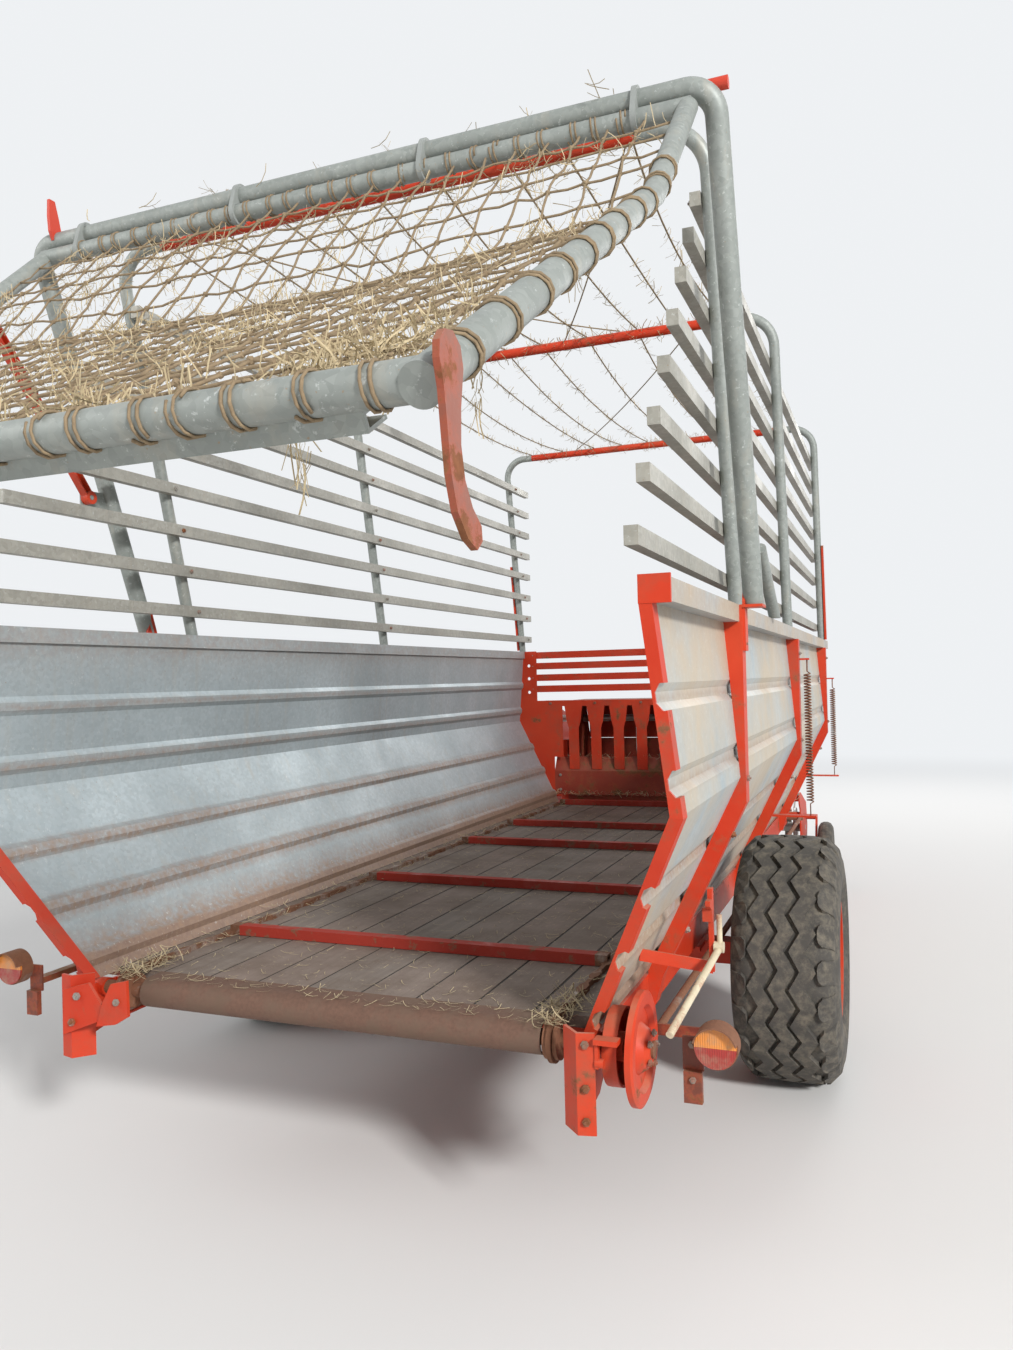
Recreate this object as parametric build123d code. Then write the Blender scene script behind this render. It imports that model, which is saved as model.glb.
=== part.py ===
from build123d import *
from math import cos, hypot, radians, sin
import os

# A farm loader wagon for dry hay: scraper floor, ribbed steel sides, tube superstructure with slats,
# a raised net tailgate at the rear, and the pick-up, feed rake and drawbar at the front.
# Sizes are millimetres. X is to the right, Y is forward along the way of travel, and Z is up.
# While the wagon is built, Y is 0 at the rear edge of its floor and Z is 0 on the ground.

# Running gear
tyre_radius = 425
tyre_width = 350
tyre_inner_face = 905
tyre_facets = 36
rim_radius = 216
axle_y = 1520
axle_size = 80
spindle_radius = 27
running_clearance = 0.5
seat_clearance = 0.3

# Load floor and main frame
floor_top = 600
floor_length = 4360
plank_thickness = 30
plank_count = 9
plank_gap = 3
rail_outer = 757
rail_width = 52
rail_wall = 7
rail_bottom = 465
rail_rear = 180
rail_front = 4480
cross_height = 38
cross_width = 60
cross_stations = (250, 900, 1700, 2500, 3300, 4050, 4440)
plank_end_gap = 55

# Scraper floor: two link chains, cross slats and the two shafts they run on
chain_x = 655
chain_pitch_radius = 50
chain_height = 16
chain_bar_width = 12
link_length = 62
link_width = 26
link_pitch = 118
slat_height = 32
slat_width = 40
slat_wall = 6
top_slats = (617, 1555, 2515, 3150, 4100)
return_slats = (450, 1180, 2080, 2980, 3880)
rear_shaft_y = 130
front_shaft_y = 4250
shaft_radius = 20
bearing_radius = 26
drum_width = 36
lip_x = (-585, 629)

# Side walls, as points across X and up Z on the outer face of the sheet
wall_sheet = 3
wall_bottom = (760, 585)
wall_bend = (1035, 1145)
wall_top = (998, 1586)
bead_depth = 12
bead_half = 28
bead_flat = 11
bead_heights = (645, 805, 965, 1215, 1392)
rear_edge_y = {"bottom": 75, "bend": -160, "top": -233}
trim_out = 9
trim_in = 18
trim_lap = 34
trim_top = 1636
top_rail_inner = 984
top_rail_outer = 1042
top_rail_height = 48
top_rail_front = 4402
top_rail_wall = 4
top_rail_bottom = wall_top[1] - top_rail_wall
top_rail_top = top_rail_bottom + top_rail_height

# Stanchions outside the walls
stanchion_width = 60
stanchion_depth = 44
stanchion_wall = 6
stanchion_face = 1050
stanchion_bend_drop = 71
stanchion_foot = 480
stanchion_stations = (700, 2360, 4080)

# Superstructure hoops: foot y and top y of each, from the rear
hoop_x = 1005
hoop_radius = 21
hoop_bend = 130
hoop_top = 2930
roof_hoops = ((866, 532), (2357, 2085), (4380, 4150))
gate_hoop_x = 1078
gate_hoop_radius = 28.5
gate_hoop_foot_y = 713
gate_hoop_top_y = 253
gate_hoop_top = 2858
gate_hoop_bend = 70

# Side slats of the superstructure
side_slat_count = 8
side_slat_height = 40
side_slat_depth = 30
side_slat_first = 1715
side_slat_pitch = 146
side_slat_rear = -240
side_slat_rear_step = 114
side_slat_front = 4430

# Tailgate, drawn raised; points along Y and up Z of the side arm's centre line
gate_hinge = (232, 2803)
gate_bend = (-165, 2415)
gate_corner = (-1240, 1745)
gate_x = 1016
gate_radius = 25
gate_arm_bend = 70
gate_tube_half = 1026
gate_tube_radius = 24
gate_channel_depth = 25
gate_channel_width = 50
gate_channel_half = 930
gate_channel_wall = 5
net_columns = 12
net_rows_upper = 3
net_rows_lower = 8
net_cord = 10
clamp_stations = (-880, -300, 300, 880)
clamp_thickness = 14
clamp_rim = 9
net_margin = 40
hook_thickness = 8
strut_low = (425, 2080)
strut_reach = 300
strut_size = 28
strut_gap = 2

# Front wall and feed mechanism
front_y = 4360
front_depth = 40
front_bar_height = 46
front_bar_tops = (1624, 1549, 1468, 1390)
front_half = 905
front_hole_x = 955
comb_bottom = 1100
comb_top = 1285
comb_half = 716
tooth_count = 9
header_height = 40
header_depth = 50
header_half = 846
sill_bottom = 636
sill_top = 893
sill_half = 780
sill_depth = 60
sill_fold = (54, 93)
sill_sheet = 6
channel_half = 650
channel_front = 4800
feed_shaft_y = 4640
feed_shaft_z = 1150
feed_shaft_radius = 24
case_inner = 895
case_thickness = 44

# Pick-up, with its reel's axis and its lifting hinge
reel_y = 4860
reel_z = 385
reel_radius = 250
reel_half = 760
reel_bar_radius = 115
stripper_radius = 190
stripper_count = 14
stripper_width = 46
tine_radius = 5
pickup_half = 830
pickup_plate = 8
pickup_hinge = (4520, 620)
pickup_pin = 20
stripper_beam_x = -279
stripper_beam_z = 127
stripper_beam_radius = 14
journal_radius = 18
gauge_radius = 190
gauge_width = 90
gauge_x = 970
gauge_z = 235

# Drawbar, hitch, gearbox and parking stand
drawbar_start = (731, rail_front, 960)
drawbar_knee = (731, 4850, 930)
drawbar_neck = (80, 5700, 860)
drawbar_end = (0, 6350, 800)
drawbar_width = 60
drawbar_height = 100
hitch_y = 6430
hitch_bore = 40
hitch_rim = 52
hitch_thickness = 32
gearbox_y = (5090, 5330)
gearbox_half = 120
gearbox_z = (870, 1090)
gearbox_seat = 12
stub_z = 965
stub_radius = 17.4
stub_length = 110
stub_plain = 36
stub_spline_depth = 3
gearbox_flange = 24
guard_radius = 75
guard_hole = 40
stand_y = 6050
stand_pivot_z = 690
stand_tube = 60
stand_foot = 160
stand_plate = 12

# Rear drive discs and lamps
disc_radius = 132
disc_x = 862
drum_x = (798, 833)
drum_radius = 92
ratchet_x = 843
ratchet_z = 505
lamp_x = 1055
lamp_y = 60
lamp_z = 602
lamp_radius = 50
lamp_depth = 46


def outline(points):
    return make_face(Polyline(*points, close=True))


def plate_x(points, x_low, x_high):
    """A flat piece with its outline in Y and Z."""
    return extrude(Plane.YZ.offset(x_low) * outline(points), x_high - x_low)


def plate_y(points, y_low, y_high):
    """A flat piece with its outline in X and Z."""
    return extrude(Plane.XZ.offset(-y_high) * outline(points), y_high - y_low)


def plate_z(points, z_low, z_high):
    """A flat piece with its outline in X and Y."""
    return extrude(Plane.XY.offset(z_low) * outline(points), z_high - z_low)


def block(x, y, z):
    """A box from its low and high value on each axis."""
    place = Pos((x[0] + x[1]) / 2, (y[0] + y[1]) / 2, (z[0] + z[1]) / 2)
    return place * Box(x[1] - x[0], y[1] - y[0], z[1] - z[0])


def rod(start, end, radius):
    axis = Vector(*end) - Vector(*start)
    return extrude(Plane(origin=start, z_dir=axis) * Circle(radius), axis.length)


def beam(start, end, width, height):
    """A straight bar, width across and height in the upright plane of its length."""
    axis = Vector(*end) - Vector(*start)
    section = Plane(origin=start, x_dir=axis.cross(Vector(0, 0, 1)), z_dir=axis)
    return extrude(section * Rectangle(width, height), axis.length)


def bent_tube(points, bend, radius):
    """A tube closed at its ends, drawn without its inside."""
    path = FilletPolyline(*points, radius=bend)
    return sweep(Plane(origin=path @ 0, z_dir=path % 0) * Circle(radius), path=path)


def turned(points):
    """A piece turned about the X axis, from points along X and out from the axis."""
    return revolve(outline(points), Axis.X)


def both(piece):
    """The piece and its mirror image on the left."""
    return Compound([piece, mirror(piece, about=Plane.YZ)])


def left_of(piece):
    return mirror(piece, about=Plane.YZ)


def shifted(points, distance):
    """An open line moved outward by a distance, its corners mitred."""
    normals = []
    for (xa, za), (xb, zb) in zip(points, points[1:]):
        length = hypot(xb - xa, zb - za)
        normals.append(((zb - za) / length, (xa - xb) / length))
    moved = []
    for (x, z), a, b in zip(points, normals[:1] + normals, normals + normals[-1:]):
        scale = distance / (1 + a[0] * b[0] + a[1] * b[1])
        moved.append((x + (a[0] + b[0]) * scale, z + (a[1] + b[1]) * scale))
    return moved


wall_line = (wall_bottom, wall_bend, wall_top)
rail_inner = rail_outer - rail_width
rail_middle = rail_outer - rail_width / 2
rail_top = floor_top - plank_thickness
shaft_z = floor_top + chain_height / 2 - chain_pitch_radius


def wall_x(height):
    """How far out the wall's outer face is at a height."""
    low, high = (wall_bottom, wall_bend) if height < wall_bend[1] else (wall_bend, wall_top)
    return low[0] + (high[0] - low[0]) * (height - low[1]) / (high[1] - low[1])


def wall_band(inner, outer):
    return outline(shifted(wall_line, inner) + shifted(wall_line, outer)[::-1])


def bead(height, flat_out):
    """A bead's four points on the wall, from its foot up; flat_out is how far out its flat lies."""
    low, high = (wall_bottom, wall_bend) if height < wall_bend[1] else (wall_bend, wall_top)
    length = hypot(high[0] - low[0], high[1] - low[1])
    dx, dz = (high[0] - low[0]) / length, (high[1] - low[1]) / length
    x, z = wall_x(height), height
    steps = ((-bead_half, 0), (-bead_flat, flat_out), (bead_flat, flat_out), (bead_half, 0))
    return [(x + dx * t + dz * out, z + dz * t - dx * out) for t, out in steps]


def beaded_line():
    """The wall's outer line with every bead pressed inward."""
    points = [wall_bottom]
    for height in bead_heights:
        if height > wall_bend[1] and wall_bend not in points:
            points.append(wall_bend)
        points += bead(height, -bead_depth)
    return points + [wall_top]


def behind_edge(offset):
    """The space behind the walls' rear edge, moved forward by an offset."""
    far, low, high = -900, 300, top_rail_top + 100
    edge = [
        (rear_edge_y["bottom"] + offset, low),
        (rear_edge_y["bottom"] + offset, wall_bottom[1]),
        (rear_edge_y["bend"] + offset, wall_bend[1]),
        (rear_edge_y["top"] + offset, wall_top[1]),
        (rear_edge_y["top"] + offset, high),
    ]
    return plate_x([(far, low)] + edge + [(far, high)], 0, tyre_inner_face + tyre_width)


def extrude_wall(profile, y_low, y_high):
    return extrude(Plane.XZ.offset(-y_high) * profile, y_high - y_low)


def wall_right():
    """Bent side sheet with beads pressed inward, and the square rail along its top."""
    line = beaded_line()
    sheet = extrude_wall(outline(line + shifted(line, -wall_sheet)[::-1]), rear_edge_y["top"] - 30, front_y)
    centre = Pos((top_rail_inner + top_rail_outer) / 2, top_rail_bottom + top_rail_height / 2)
    rail_size = (top_rail_outer - top_rail_inner, top_rail_height)
    rail = Rectangle(*rail_size) - Rectangle(*[size - 2 * top_rail_wall for size in rail_size])
    rail = extrude_wall(centre * rail, rear_edge_y["top"] - 30, top_rail_front)
    return sheet + rail - behind_edge(0)


def wall_edge(wall):
    """Red edge strip that wraps the rear edge of a wall and closes the rear end of its rail."""
    strip = extrude_wall(wall_band(-trim_in, trim_out), -400, 200)
    for height in bead_heights:
        feet = bead(height, -bead_depth)
        mouth = bead(height, 0)
        low, high = shifted([mouth[0], mouth[3]], trim_out + 1)
        strip -= extrude_wall(outline([low] + feet + [high]), -400, 200)
    strip = strip - behind_edge(-trim_out) & behind_edge(trim_lap) - wall
    rear = rear_edge_y["top"]
    return strip + block((top_rail_inner - 4, top_rail_outer + 4), (rear - trim_out, rear), (top_rail_bottom - 4, trim_top))


def stanchion(y):
    """U-channel from the frame rail to the top rail, hollow towards the wall."""
    foot_out = shifted(wall_line, stanchion_depth)[0]
    face_bend = (stanchion_face, wall_bend[1] - stanchion_bend_drop)
    points = [
        (stanchion_face, top_rail_bottom),
        (wall_x(top_rail_bottom), top_rail_bottom),
        wall_bend,
        wall_bottom,
        (rail_outer, wall_bottom[1]),
        (rail_outer, stanchion_foot),
        (rail_outer + 18, stanchion_foot),
        foot_out,
        face_bend,
    ]
    half = stanchion_width / 2
    channel = plate_y(points, y - half, y + half)
    inner = half - stanchion_wall
    channel -= Pos(-stanchion_wall - 1, 0, 0) * plate_y(points, y - inner, y + inner)
    return channel


def stanchion_x(height):
    """How far out the stanchions' outer face is at a height below their bend."""
    low_x, low_z = shifted(wall_line, stanchion_depth)[0]
    share = (height - low_z) / (wall_bend[1] - stanchion_bend_drop - low_z)
    return low_x + (stanchion_face - low_x) * share


def stanchions_right():
    pieces = [stanchion(y) for y in stanchion_stations]
    foot = gate_hoop_foot_y
    reach = gate_hoop_x + gate_hoop_radius
    shelf = block((top_rail_outer, reach), (foot - 36, foot + 36), (top_rail_top - 8, top_rail_top))
    face = plate_x([(foot - 30, 1500), (foot + 17, 1500), (foot + 17, 1640), (foot - 5, 1705), (foot - 30, 1640)],
                   stanchion_face, stanchion_face + 8) - gate_hoop()
    spacer = block((top_rail_outer, stanchion_face), (foot - 36, foot + 17), (top_rail_bottom, top_rail_top - 8))
    pieces[0] = pieces[0] + shelf + face + spacer
    return Compound(pieces)


def floor_planks():
    width = 2 * (rail_outer - 12)
    pitch = width / plank_count
    y = (rear_shaft_y + plank_end_gap, front_shaft_y - plank_end_gap)
    planks = []
    for index in range(plank_count):
        x = -width / 2 + index * pitch
        z = (floor_top - plank_thickness, floor_top)
        planks.append(block((x, x + pitch - plank_gap), y, z))
    return Compound(planks)


def main_frame():
    """Two channel rails joined by cross members under the planks."""
    height = rail_top - rail_bottom
    section = Rectangle(rail_width, height) - Pos(-rail_wall) * Rectangle(rail_width, height - 2 * rail_wall)
    middle = Pos(rail_middle, rail_bottom + height / 2)
    rail = extrude(Plane.XZ.offset(-rail_front) * (middle * section), rail_front - rail_rear)
    frame = rail + left_of(rail)
    reach = rail_outer - rail_wall
    for y in cross_stations:
        frame += block((-reach, reach), (y - cross_width / 2, y + cross_width / 2), (rail_top - cross_height, rail_top))
    post = block((rail_inner, rail_outer), (rail_front - 60, rail_front), (rail_bottom, drawbar_start[2] + 50))
    y, z = pickup_hinge
    ear = plate_x([(rail_front, z - 60), (y, z - 38), (y + 38, z), (y, z + 38), (rail_front, z + 60)],
                  rail_outer - 12, rail_outer)
    ear -= rod((rail_inner, y, z), (rail_outer + 9, y, z), pickup_pin + running_clearance)
    side = post + ear
    return frame + side + left_of(side)


def axle():
    """Square axle beam with round spindles and seats under the rails."""
    half = axle_size / 2
    reach = tyre_inner_face - 40
    piece = block((-reach, reach), (axle_y - half, axle_y + half), (tyre_radius - half, tyre_radius + half))
    end = tyre_inner_face + tyre_width / 2 + 70
    piece += rod((-end, axle_y, tyre_radius), (end, axle_y, tyre_radius), spindle_radius)
    for side in (-1, 1):
        x = side * rail_middle
        piece += block((x - 40, x + 40), (axle_y - 140, axle_y + 140), (rail_bottom - 14, rail_bottom))
        piece += block((x - 26, x + 26), (axle_y - 60, axle_y + 60), (tyre_radius, rail_bottom))
    return piece


def wheel_place():
    return Pos(tyre_inner_face + tyre_width / 2, axle_y, tyre_radius)


def faceted(points, facets):
    """A body with flat facets around the X axis, from points along X and out from the axis."""
    scale = 1 / cos(radians(180 / facets))
    sections = [Plane.YZ.offset(x) * Rot(0, 0, 180 / facets) * RegularPolygon(radius * scale, facets)
                for x, radius in points]
    return loft(sections, ruled=True)


def tyre():
    """Tyre body; its tread blocks are left to the visual model."""
    half = tyre_width / 2
    crown = tyre_radius
    outside = [(half - 27, rim_radius), (half - 5, rim_radius + 42), (half, rim_radius + 95),
               (half - 10, crown - 52), (half - 34, crown - 10), (half - 76, crown - 2), (34, crown)]
    inside = [(half - 27, rim_radius - 1), (half - 22, rim_radius + 95), (half - 60, crown - 44), (0, crown - 34)]
    outside = [(-x, radius) for x, radius in outside] + outside[::-1]
    inside = [(-x, radius) for x, radius in inside] + inside[-2::-1]
    bore = rod((-tyre_width, 0, 0), (tyre_width, 0, 0), rim_radius)
    return wheel_place() * (faceted(outside, tyre_facets) - faceted(inside, tyre_facets) - bore)


def rim():
    """Steel rim with flanges, dished disc, hub and grease cap."""
    seat = rim_radius
    half = tyre_width / 2 - 27
    barrel = turned([(-half, seat - 8), (half, seat - 8), (half, seat), (-half, seat)])
    for side in (-1, 1):
        edge, lip = side * half, side * (half + 9)
        barrel += turned([(edge, seat - 8), (lip, seat - 8), (lip, seat + 15), (edge, seat)])
    disc = turned([(6, 74), (-14, 150), (10, seat - 8), (20, seat - 8), (-4, 150), (16, 74)])
    bore = spindle_radius + running_clearance
    hub = turned([(-70, bore), (-70, 66), (6, 80), (16, 80), (26, 62), (74, 54), (74, bore)])
    cap = turned([(74, 0), (74, 54), (92, 44), (96, 0)])
    return wheel_place() * (barrel + disc + hub + cap)


def chain_top(y_low, y_high, z):
    """Upper strand seen from above: flat links that alternate with links on edge."""
    count = int((y_high - y_low) / link_pitch)
    start = (y_low + y_high - count * link_pitch) / 2
    wide, thin = link_width / 2, chain_bar_width / 2
    side = [(thin, y_low)]
    for index in range(count):
        rear = start + index * link_pitch + (link_pitch - link_length) / 2
        front = rear + link_length
        side += [(thin, rear), (wide, rear + 12), (wide, front - 12), (thin, front)]
    side.append((thin, y_high))
    across = [(-x, y) for x, y in side[::-1]]
    return plate_z(side + across, z - chain_height / 2, z + chain_height / 2)


def slat_bar(y, outer_z, toward):
    """Cross slat of the scraper floor as a channel; toward is -1 where it opens down."""
    half = slat_width / 2
    inner_z = outer_z + toward * slat_height
    low, high = sorted((outer_z, inner_z))
    bar = block((-chain_x, chain_x), (y - half, y + half), (low, high))
    open_low, open_high = sorted((inner_z, outer_z + toward * slat_wall))
    inner = half - slat_wall
    return bar - block((-chain_x, chain_x), (y - inner, y + inner), (open_low, open_high))


def scraper_floor():
    """Closed loop of two chains with their slats, which lies on the planks and returns below them."""
    top_z = floor_top + chain_height / 2
    low_z = top_z - 2 * chain_pitch_radius
    half = chain_height / 2
    strand = chain_top(rear_shaft_y, front_shaft_y, top_z)
    strand += block(
        (-chain_bar_width / 2, chain_bar_width / 2), (rear_shaft_y, front_shaft_y), (low_z - half, low_z + half)
    )
    for y, turn in ((rear_shaft_y, -1), (front_shaft_y, 1)):
        ring = Circle(chain_pitch_radius + half) - Circle(chain_pitch_radius - half)
        far = turn * 2 * chain_pitch_radius
        ring = ring & Pos(far / 2, 0) * Rectangle(abs(far), 4 * chain_pitch_radius)
        place = Plane(origin=(-chain_bar_width / 2, y, top_z - chain_pitch_radius), x_dir=(0, 1, 0), z_dir=(1, 0, 0))
        strand += extrude(place * ring, chain_bar_width)
    loop = Pos(chain_x, 0, 0) * strand + Pos(-chain_x, 0, 0) * strand
    for y in top_slats:
        loop += slat_bar(y, floor_top + slat_height + 2, -1)
    for y in return_slats:
        loop += slat_bar(y, low_z - slat_height + chain_height / 2, 1)
    return loop


def scraper_shaft(y, reach_left, reach_right):
    """Shaft across the frame with the two chain drums."""
    z = shaft_z
    piece = rod((-reach_left, y, z), (reach_right, y, z), shaft_radius)
    drum = chain_pitch_radius - chain_height / 2 - seat_clearance
    for x in (-chain_x, chain_x):
        piece += rod((x - drum_width / 2, y, z), (x + drum_width / 2, y, z), drum)
        for side in (-1, 1):
            inner = x + side * (chain_bar_width / 2 + 2)
            outer = x + side * drum_width / 2
            piece += rod((min(inner, outer), y, z), (max(inner, outer), y, z), drum + 8)
    return piece



def lip(y, turn):
    """Rounded sheet that covers a shaft between the chains; turn is the side of the planks."""
    radius, sheet = floor_top - shaft_z, 5
    reach = plank_end_gap - seat_clearance
    band = Circle(radius) - Circle(radius - sheet)
    band -= Pos(turn * radius, 0) * Rectangle(2 * radius, 2 * radius)
    band += Pos(turn * reach / 2, radius - sheet / 2) * Rectangle(reach, sheet)
    low, high = lip_x
    place = Plane(origin=(low, y, shaft_z), x_dir=(0, 1, 0), z_dir=(1, 0, 0))
    return extrude(place * band, high - low)


def end_plate_right():
    """Folded upright bar behind the floor, with the web and boss that carry the scraper shaft."""
    folded = plate_z([(705, 44), (750, -2), (792, 8), (790, 16), (752, 7), (711, 50)], 392, 625)
    y = rear_shaft_y
    web = plate_x([(8, 420), (8, 576), (70, 576), (y + 118, 566), (y + 118, 470), (y + 40, 470), (y, 440)],
                  rail_outer, rail_outer + 8)
    housing = rod((rail_outer - 20, y, shaft_z), (rail_outer + 18, y, shaft_z), bearing_radius)
    bore = rod((0, y, shaft_z), (rail_outer + 60, y, shaft_z), shaft_radius)
    return folded + web + housing - bore


def rear_lug_right():
    """Small level plate with its boss beside the right end bar."""
    plate = block((792, 848), (-6, 26), (604, 616))
    return plate + rod((792, 12, 557), (812, 12, 557), 11) + block((792, 800), (4, 20), (546, 604))


def front_bearings():
    plate = plate_x(
        [(front_shaft_y - 60, rail_bottom), (front_shaft_y + 60, rail_bottom), (front_shaft_y + 45, rail_top + 28),
         (front_shaft_y - 45, rail_top + 28)],
        rail_inner - 8,
        rail_inner,
    )
    bore = rod((0, front_shaft_y, shaft_z), (rail_outer, front_shaft_y, shaft_z), shaft_radius)
    return both(plate - bore)


def corner_bracket_left():
    """Two stepped flat plates behind the left end bar."""
    outer = plate_y([(-767, 588), (-676, 614), (-605, 525), (-771, 460)], -12, -2)
    inner = plate_y([(-620, 560), (-586, 622), (-531, 635), (-528, 537), (-572, 512), (-640, 500)], -22, -12)
    return outer + inner


def drive_wheel():
    """Dished red disc on the end of the scraper shaft."""
    place = Pos(disc_x, rear_shaft_y, shaft_z)
    disc = turned([
        (0, shaft_radius), (0, 40), (-8, 60), (-8, 92), (6, 100), (6, disc_radius - 8), (0, disc_radius),
        (14, disc_radius), (18, disc_radius - 8), (18, 100), (4, 92), (4, 60), (24, 46), (34, 30), (34, shaft_radius),
    ])
    return place * disc


def drive_drum():
    """Plain red drum inboard of the disc, with its inside open towards the disc."""
    inner, outer = drum_x
    drum = turned([(inner, shaft_radius), (inner, drum_radius), (outer, drum_radius), (outer, drum_radius - 6),
                   (inner + 6, drum_radius - 6), (inner + 6, shaft_radius + 14), (outer, shaft_radius + 14),
                   (outer, shaft_radius)])
    return Pos(0, rear_shaft_y, shaft_z) * drum


def lamp_bracket():
    """Bar from the frame, an upright plate and a short weathered board under it."""
    back = lamp_y + lamp_depth
    bar_y = rear_shaft_y + disc_radius + 14
    inner, outer = lamp_x - 83, lamp_x - 35
    bar = block((rail_outer, outer), (bar_y, bar_y + 7), (540, 568))
    plate = block((inner, outer), (back, back + 6), (530, 607))
    link = block((outer - 30, outer), (back + 6, bar_y), (545, 563))
    ear = block((outer, lamp_x + 10), (back, back + 6), (585, 605))
    return bar + plate + link + ear


def lamp_board():
    return block((lamp_x - 79, lamp_x - 37), (lamp_y + 30, lamp_y + lamp_depth), (460, 532))


def lamp_housing():
    start, end = lamp_y + 8, lamp_y + lamp_depth
    cup = rod((lamp_x, start, lamp_z), (lamp_x, end, lamp_z), lamp_radius)
    cup -= rod((lamp_x, start, lamp_z), (lamp_x, end - 6, lamp_z), lamp_radius - 3)
    visor = rod((lamp_x, lamp_y - 16, lamp_z), (lamp_x, start, lamp_z), lamp_radius)
    visor -= rod((lamp_x, lamp_y - 16, lamp_z), (lamp_x, start, lamp_z), lamp_radius - 3)
    visor -= block((lamp_x - 80, lamp_x + 80), (lamp_y - 40, lamp_y + 7), (lamp_z - 80, lamp_z + 12))
    return cup + visor


def lamp_lens(upper):
    start, end = lamp_y, lamp_y + 12
    lens = rod((lamp_x, start, lamp_z), (lamp_x, end, lamp_z), lamp_radius - 3)
    low, high = (lamp_z - 90, lamp_z) if upper else (lamp_z, lamp_z + 90)
    return lens - block((lamp_x - 80, lamp_x + 80), (start - 20, end + 20), (low, high))


def roof_post(foot_y, top_y):
    """Right post of a roof hoop with its bent top, standing on the wall's top rail."""
    lean = (top_y - foot_y) / (hoop_top - top_rail_top)
    below = 60
    points = [
        (hoop_x, foot_y - lean * below, top_rail_top - below),
        (hoop_x, top_y, hoop_top),
        (hoop_x - hoop_bend - 60, top_y, hoop_top),
    ]
    post = bent_tube(points, hoop_bend, hoop_radius)
    return post - block((hoop_x - 99, hoop_x + 99), (foot_y - 200, foot_y + 200), (top_rail_top - 200, top_rail_top))


def roof_beam(top_y):
    end = hoop_x - hoop_bend - 60
    ring = rod((-end, top_y, hoop_top), (end, top_y, hoop_top), hoop_radius)
    return ring


def gate_hoop():
    """Strong hoop that carries the tailgate's hinge."""
    lean = (gate_hoop_top_y - gate_hoop_foot_y) / (gate_hoop_top - top_rail_top)
    below = 60
    foot = (gate_hoop_foot_y - lean * below, top_rail_top - below)
    points = [
        (gate_hoop_x, *foot),
        (gate_hoop_x, gate_hoop_top_y, gate_hoop_top),
        (-gate_hoop_x, gate_hoop_top_y, gate_hoop_top),
        (-gate_hoop_x, *foot),
    ]
    hoop = bent_tube(points, gate_hoop_bend, gate_hoop_radius)
    reach = gate_hoop_x + 99
    return hoop - block((-reach, reach), (foot[0] - 300, foot[0] + 300), (top_rail_top - 300, top_rail_top))


def gate_clamps():
    """Straps on the strong hoop's crossbar in which the tailgate's top tube turns."""
    clamps = []
    top = (gate_hoop_top_y, gate_hoop_top)
    for x in clamp_stations:
        upper = Pos(*top) * Circle(gate_hoop_radius + clamp_rim)
        lower = Pos(*gate_hinge) * Circle(gate_radius + clamp_rim)
        strap = make_hull([*upper.edges(), *lower.edges()])
        strap -= Pos(*top) * Circle(gate_hoop_radius)
        strap -= Pos(*gate_hinge) * Circle(gate_radius + running_clearance)
        clamps.append(extrude(Plane.YZ.offset(x) * strap, clamp_thickness))
    return Compound(clamps)


def side_slats_right():
    slats = []
    inner = hoop_x - hoop_radius - side_slat_depth
    for index in range(side_slat_count):
        z = side_slat_first + index * side_slat_pitch
        rear = side_slat_rear + index * side_slat_rear_step
        half = side_slat_height / 2
        slat = block((inner, inner + side_slat_depth), (rear, side_slat_front), (z - half, z + half))
        slats.append(slat)
    return Compound(slats)


def along(start, end, distance, aside=0.0):
    """A point in Y and Z at a distance from start towards end, moved aside below the line."""
    length = hypot(end[0] - start[0], end[1] - start[1])
    dy, dz = (end[0] - start[0]) / length, (end[1] - start[1]) / length
    return (start[0] + dy * distance - dz * aside, start[1] + dz * distance + dy * aside)


gate_upper = hypot(gate_bend[0] - gate_hinge[0], gate_bend[1] - gate_hinge[1])
gate_lower = hypot(gate_corner[0] - gate_bend[0], gate_corner[1] - gate_bend[1])


def gate_frame():
    """Tube frame of the tailgate: two bent arms, the hinge tube and the bottom tube."""
    corners = [gate_hinge, gate_bend, along(gate_bend, gate_corner, gate_lower + gate_radius)]
    arm = bent_tube([(gate_x, y, z) for y, z in corners], gate_arm_bend, gate_radius)
    low_tube = rod((-gate_tube_half, *gate_corner), (gate_tube_half, *gate_corner), gate_tube_radius)
    frame = arm + left_of(arm) + low_tube
    hinge = rod((-gate_x - 10, *gate_hinge), (gate_x + 10, *gate_hinge), gate_radius)
    pin = along(gate_hinge, gate_bend, strut_reach)
    pin_end = -gate_x - gate_radius - strut_gap
    return frame + hinge + rod((pin_end, *pin), (-gate_x, *pin), 12)


def gate_channel():
    """Folded channel under the tailgate's bottom tube."""
    width = gate_channel_width
    near = gate_tube_radius
    far = gate_tube_radius + gate_channel_depth

    def spot(back, aside):
        return along(gate_bend, gate_corner, gate_lower + back, aside)

    solid = plate_x([spot(-width, near), spot(0, near), spot(0, far), spot(-width, far)],
                    -gate_channel_half, gate_channel_half)
    wall = gate_channel_wall
    space = plate_x([spot(-width - 1, near + wall), spot(-wall, near + wall), spot(-wall, far - wall),
                     spot(-width - 1, far - wall)], -gate_channel_half, gate_channel_half)
    return solid - space


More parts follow.
